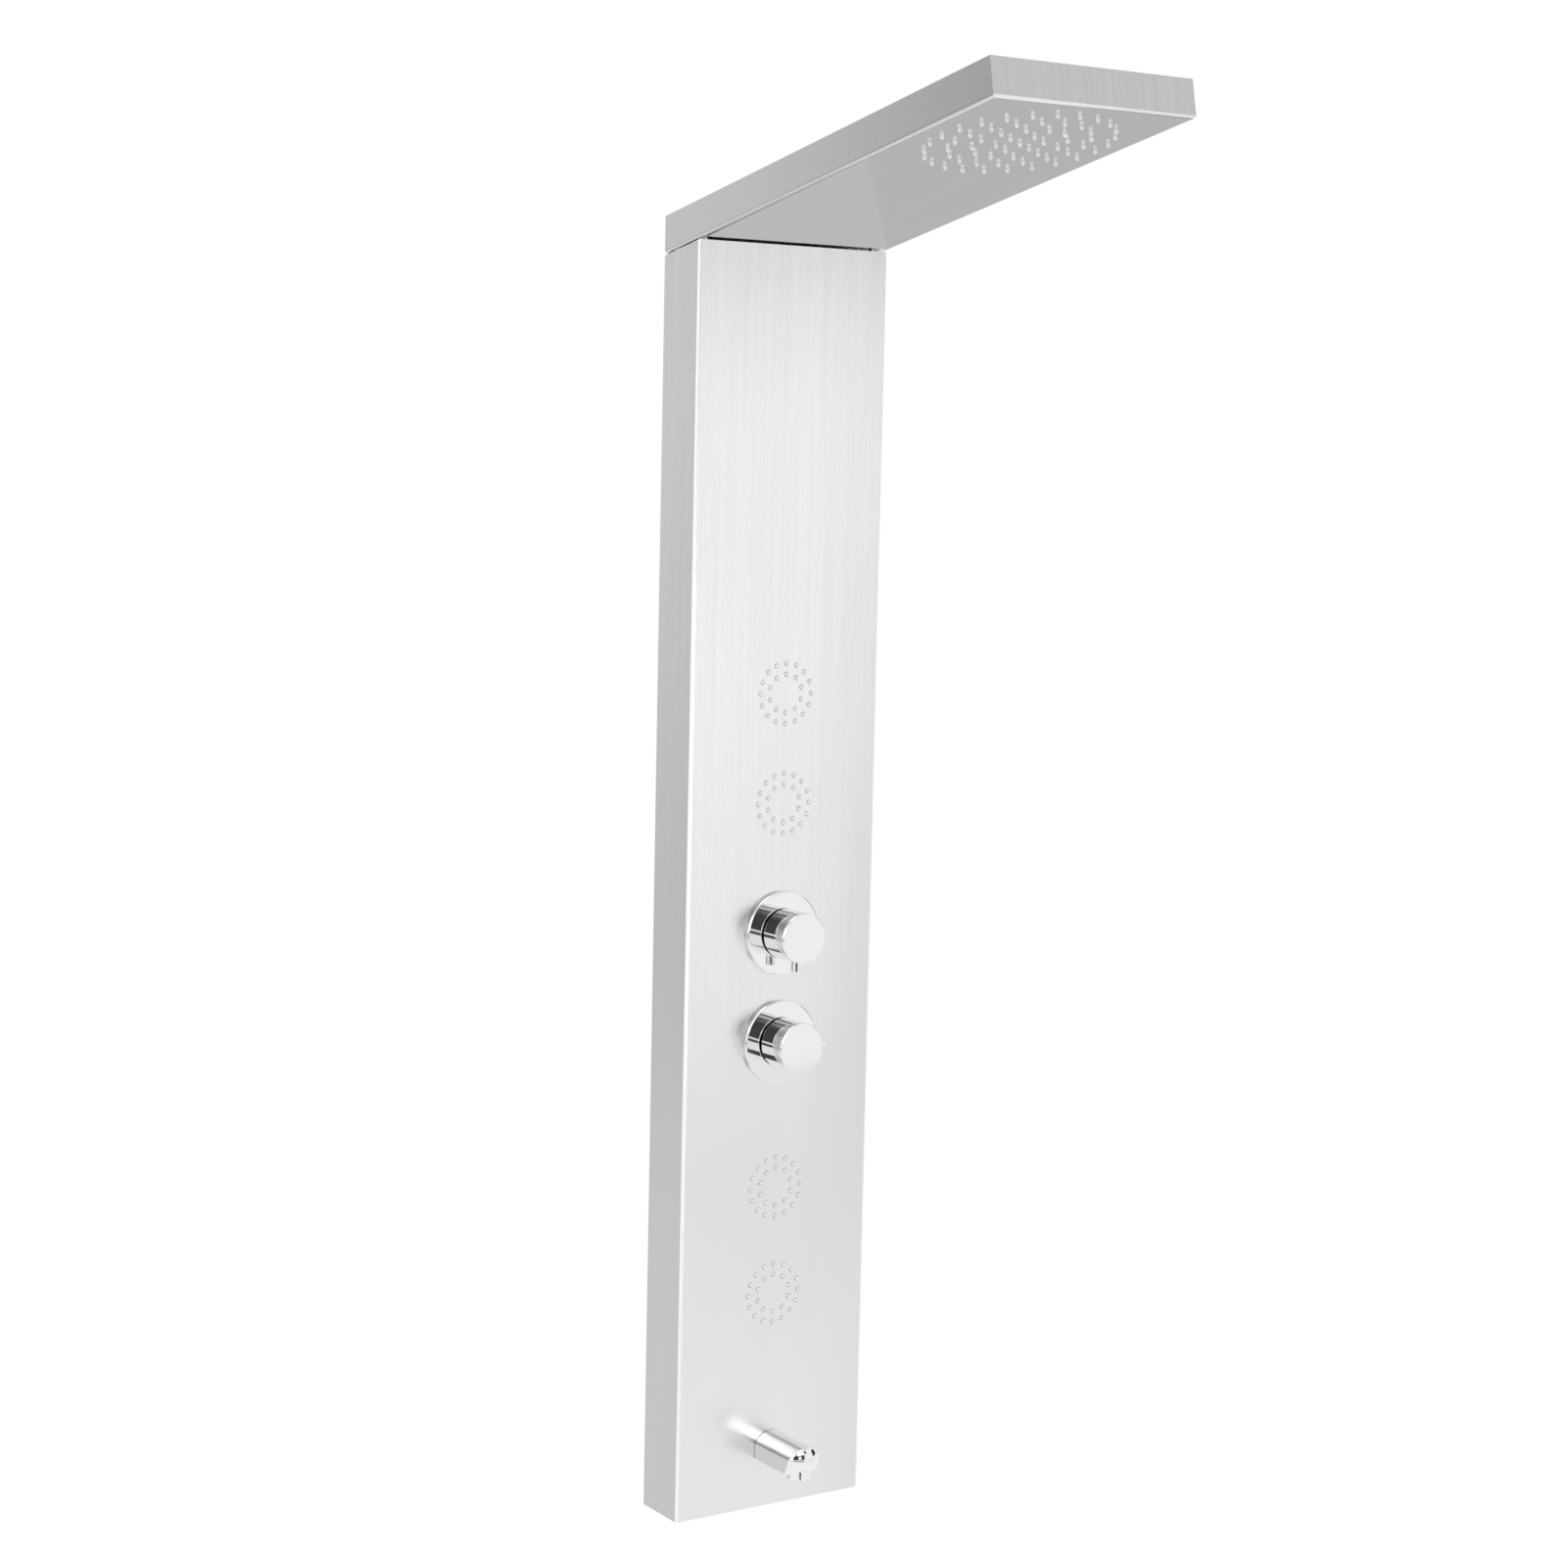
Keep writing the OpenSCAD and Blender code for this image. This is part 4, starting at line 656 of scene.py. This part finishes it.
# spout: rings of the section run straight out to the ball, turn over a small edge, then shrink to its tip;
# a ring's reach is what the ball has left at its size, by the root of radius squared less distance squared
def spoutShape(look):
    section = spoutSection(look)
    centre = np.array([0, look["tailRise"]])
    ball = np.hypot(look["width"] / 2, look["tailRise"]) + look["noseMargin"]
    turn, nose = np.radians(np.linspace(0, 90, look["turns"] + 1)), look["nose"]
    straight, caps = len(look["ringShares"]), look["caps"]
    shrink = np.concatenate([np.zeros(straight), nose * (1 - np.cos(turn))])
    sink = np.concatenate([np.full(straight, nose), nose * (1 - np.sin(turn)), np.zeros(caps)])
    share = np.concatenate([look["ringShares"], np.ones(len(turn) + caps)])
    away = section - centre
    length = np.linalg.norm(away, axis=1)
    rims = 1 - shrink[:, None] / length
    closing = np.cos(np.radians(np.linspace(0, look["capsTo"], caps + 1)))[1:, None]
    scale = np.vstack([rims, rims[-1] * closing])
    rings = centre + scale[..., None] * away
    outward = look["reach"] - ball + np.sqrt(ball ** 2 - (scale * length) ** 2) - sink[:, None]
    points = np.stack([rings[..., 0], -outward * share[:, None], rings[..., 1]], -1)
    rows, columns = points.shape[:2]
    flat = points.reshape(-1, 3)
    faces = gridFaces(rows, columns, closedColumns=True).tolist()
    faces.append(list(range(columns - 1, -1, -1)))
    tip = len(flat)
    flat = np.vstack([flat, [0, -look["reach"], centre[1]]])
    last = (rows - 1) * columns
    faces += [[tip, last + k, last + (k + 1) % columns] for k in range(columns)]
    return flat * mm + np.array([0, frontFace, look["floor"] * mm]), faces


spoutShell = newPiece("spoutShell", spoutShape(spoutLook), "chromePlate", "panel", ["spout_body"],
                      sharpFrom["spout"])
onShadedSide = np.abs(faceRows(spoutShell, "normal")[:, 0]) > spoutParts["sideFrom"]
atJoint = faceRows(spoutShell, "center")[:, 1] > frontFace - spoutParts["joint"] * mm
# painted shade on the flat sides and on the ring at the joint
paintFaces(spoutShell, ["spoutSide", "spoutJointShade"], np.where(atJoint, 2, onShadedSide))

aeratorLook = {"radius": 11, "setback": 48, "drop": 6, "edge": 0.8, "innerEdge": 0.3, "wall": 1.6, "sink": 5,
               "segments": 96}


# aerator: a ring that hangs out of the spout's floor, rounded below on both sides of its wall
def aeratorProfile(look):
    r, e, w, i = look["radius"], look["edge"], look["wall"], look["innerEdge"]
    rim = arc((r - e, e), e, 0, -90, 6)
    inner = arc((r - w + i, i), i, -90, -180, 3)
    top = look["drop"] + look["sink"]
    return np.vstack([[(r, top)], rim, inner, [(r - w, top)]])


aeratorSeat = (0, frontFace - aeratorLook["setback"] * mm, (spoutLook["floor"] - aeratorLook["drop"]) * mm)
aerator = turned(aeratorProfile(aeratorLook) * mm, aeratorLook["segments"])
newPiece("aeratorRing", placed(aerator, aeratorSeat, (1, 0, 0), (0, 0, 1)), "chromePlate", "panel",
         ["aerator_housing"])
print("spout made")

# the rest keeps its CAD form, as merged copies with their own finishes: slot, then nodes
hiddenFinish = {
    "fastenerSteel": ("fastener_steel", [
        "arm_spacers", "arm_screws", "arm_nuts", "rain_chamber_nuts", "jet_nuts", "hose_clips",
        "mixer_grub_screw", "diverter_grub_screw"]),
    "bracketSteel": ("bracket_steel", ["upper_rail", "lower_rail", "upper_bracket", "lower_bracket"]),
    "castBrass": ("brass", [
        "mixer_body", "diverter_body", "hot_inlet", "cold_inlet", "transfer_pipe", "valve_ring_nuts",
        "valve_clamp_nuts", "mixer_spindle", "diverter_spindle", "jet_tee", "hose_nuts", "spout_nut",
        "spout_elbow"]),
    "darkPlastic": ("dark_plastic", [
        "rain_chamber", "jet_chamber_1", "jet_chamber_2", "jet_chamber_3", "jet_chamber_4",
        "mixer_cartridge", "diverter_cartridge"]),
    "whitePlastic": ("white_plastic", ["aerator_insert"]),
    "ceramicDisc": ("ceramic", [
        "mixer_fixed_disc", "diverter_fixed_disc", "mixer_moving_disc", "diverter_moving_disc"]),
    "sealRubber": ("seal_rubber", ["flange_seals"]),
    "braidedHose": ("hose", [
        "rain_hose", "jet_riser_hose", "jet_lower_hose", "jet_link_hoses", "spout_hose"]),
}


def spelledTogether(node):
    words = node.split("_")
    return words[0] + "".join(word.capitalize() for word in words[1:])


for paint, (slot, nodes) in hiddenFinish.items():
    angle = sharpFrom["hose"] if paint == "braidedHose" else sharpFrom["copied"]
    for node in nodes:
        finishedCopy(node, spelledTogether(node), paint, frame["nodes"][node]["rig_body"], angle)
print("hidden pieces finished")

# studio: a white world that diffuse light sees dimmer, a pale floor and two softboxes
worldLook = {"level": 0.66, "shown": 1.0}
floorLook = {"height": -0.35, "size": 24, "tone": 0.9, "shownShare": 0.96, "shown": 1.02}
softboxes = {
    "keySoftbox": {"place": (-2.6, -1.75, 1.25), "aim": (0, -0.06, 0.75), "size": (0.9, 1.9), "glow": 1.9},
    "topSoftbox": {"place": (-0.3, -1.3, 3.1), "aim": (0, -0.1, 0.9), "size": (1.6, 1.2), "glow": 2.2},
}


# corners of an upright card, from its two ends seen from above and its lower and upper height
def upright(start, end, low, high):
    return [(*start, low), (*end, low), (*end, high), (*start, high)]


# corners of a level card, from its reach along x and along y and its height
def level(x, y, height):
    return [(x[0], y[0], height), (x[1], y[0], height), (x[1], y[1], height), (x[0], y[1], height)]


# cards that only reflections see, which give the polished faces the light and dark of the photograph's room
cards = {
    # what the column's left side mirrors: a grey that grows lighter from front to back
    "sideCard": {"corners": upright((-2.0, 1.35), (-2.0, 4.2), -2.2, 3.0), "tone": 0.31, "farTone": 0.6,
                 "rise": (1.7, 2.9)},
    # a near black sheet in the gap between column and arm, painted shade that keeps the gap dark
    "gapShadeCard": {"corners": upright((-0.099, 0.004), (0.099, 0.004), 1.1385, 1.1408), "tone": 0.01},
    # a bright band in front of the column at half its height, and a white one lower and to its right
    "nearLampCard": {"corners": upright((-0.5, -1.0), (0.15, -1.0), 0.5, 0.7), "tone": 5},
    "lowWhiteCard": {"corners": upright((0.16, -1.0), (0.75, -1.0), 0.2, 0.56), "tone": 1},
    # what the arm's front lip mirrors
    "lipCard": {"corners": upright((0.3, -1.65), (1.15, -0.85), 1.25, 2.2), "tone": 0.6},
    # the floor's darker and lighter parts, as polished faces mirror them
    "darkFloorCard": {"corners": level((-9, 0.5), (-9, -3.4), -0.3), "tone": 0.06},
    "backFloorCard": {"corners": level((0.2, 7), (0.8, 9), -0.3), "tone": 0.5},
    "backLeftFloorCard": {"corners": level((-6, -0.15), (0.3, 6), -0.3), "tone": 0.68},
    # dark reflection on the aerator
    "aeratorCard": {"corners": level((-0.55, -0.1), (-1.3, -1.0), -0.29), "tone": 0.05},
    # the even grey that the arm's underside mirrors from the column's front, so it is clear from behind
    "mirrorCard": {"corners": upright((-0.0995, -0.0586), (0.0995, -0.0586), 0.86, 1.1512), "tone": 0.54,
                   "oneSided": True},
    "frontFloorCard": {"corners": level((0.9, 5), (-5, -1.1), -0.3), "tone": 0.9},
}
# patches of a sphere round the object's middle, by their turn from the front and their rise, in degrees
skyCards = {
    "darkCard": {"turn": (-38, 8), "rise": (0, 35), "away": 9, "tone": 0.05},
    "darkCardLeft": {"turn": (-62, -38), "rise": (0, 20), "away": 9, "tone": 0.05},
    "darkCardFarRight": {"turn": (58, 82), "rise": (0, 22), "away": 9, "tone": 0.05},
    "darkCardRight": {"turn": (8, 26), "rise": (12, 35), "away": 9, "tone": 0.05},
    "lowLampCard": {"turn": (-22, -8), "rise": (3, 15), "away": 8, "tone": 1.3},
}
skyMiddle = (0, 0, 0.5)
skyGrid = {"rows": 9, "columns": 25}


def lightWorld(look):
    world = bpy.data.worlds.new("studioWorld")
    scene.world = world
    paint = Paint(world)
    _, shown = paint.seenRays()
    strength = look["level"] + (look["shown"] - look["level"]) * shown
    background = paint.node("ShaderNodeBackground", {}, {"Color": (1, 1, 1, 1), "Strength": strength})
    paint.node("ShaderNodeOutputWorld", {}, {"Surface": background})


def stageMesh(name, points, faces, material):
    mesh = bpy.data.meshes.new(name)
    mesh.from_pydata(points, [], faces)
    mesh.materials.append(material)
    staged = bpy.data.objects.new(name, mesh)
    scene.collection.objects.link(staged)
    return staged


# floor seen as near white, with a share of its own shaded colour so that it keeps the shadow; a camera below
# looks through it
def layFloor(look):
    paint = newPaint("floorPaint")
    camera, shown = paint.seenRays()
    matt = paint.node("ShaderNodeBsdfDiffuse", {}, {"Color": (look["tone"], look["tone"], look["tone"], 1)})
    shares = {0: shown * look["shownShare"], 1: matt, 2: paint.glow(look["shown"])}
    mixed = paint.node("ShaderNodeMixShader", {}, shares)
    half = look["size"] / 2
    stageMesh("studioFloor", level((-half, half), (-half, half), look["height"]), [(0, 1, 2, 3)],
              paint.wear(paint.clearFromBehind(mixed, camera)))


def seenByReflectionsOnly(card):
    card.visible_camera = False
    card.visible_diffuse = False
    card.visible_shadow = False


# card: an even tone, or one that goes over to a far tone along y
def hangCard(name, look):
    paint = newPaint(name + "Paint")
    tone = look["tone"]
    if "rise" in look:
        tone = tone + (look["farTone"] - tone) * paint.axes()[1].share(*look["rise"])
    glow = paint.glow(tone)
    if look.get("oneSided"):
        glow = paint.clearFromBehind(glow, 1)
    seenByReflectionsOnly(stageMesh(name, look["corners"], [(0, 1, 2, 3)], paint.wear(glow)))


# sky card: for each turn and rise, the sine and cosine of the turn times the cosine of the rise, and the
# sine of the rise, all times the distance away
def hangSkyCard(name, look):
    rows, columns = skyGrid["rows"], skyGrid["columns"]
    turn, rise = np.meshgrid(np.radians(np.linspace(*look["turn"], columns)),
                             np.radians(np.linspace(*look["rise"], rows)))
    outward = np.stack([np.sin(turn) * np.cos(rise), -np.cos(turn) * np.cos(rise), np.sin(rise)], -1)
    points = outward.reshape(-1, 3) * look["away"] + np.array(skyMiddle)
    paint = newPaint(name + "Paint")
    material = paint.wear(paint.glow(look["tone"]))
    seenByReflectionsOnly(stageMesh(name, points.tolist(), gridFaces(rows, columns).tolist(), material))


# softbox: its power gives the wanted glow, which is power over pi times area
def hangSoftbox(name, look):
    lamp = bpy.data.lights.new(name, "AREA")
    lamp.shape, lamp.size, lamp.size_y = "RECTANGLE", look["size"][0], look["size"][1]
    lamp.energy = look["glow"] * np.pi * look["size"][0] * look["size"][1]
    box = bpy.data.objects.new(name, lamp)
    away = Vector(look["place"]) - Vector(look["aim"])
    box.matrix_world = Matrix.Translation(look["place"]) @ away.to_track_quat("Z", "Y").to_matrix().to_4x4()
    scene.collection.objects.link(box)
    box.visible_camera = False


lightWorld(worldLook)
layFloor(floorLook)
for name, look in cards.items():
    hangCard(name, look)
for name, look in skyCards.items():
    hangSkyCard(name, look)
for name, look in softboxes.items():
    hangSoftbox(name, look)
print("studio lit")
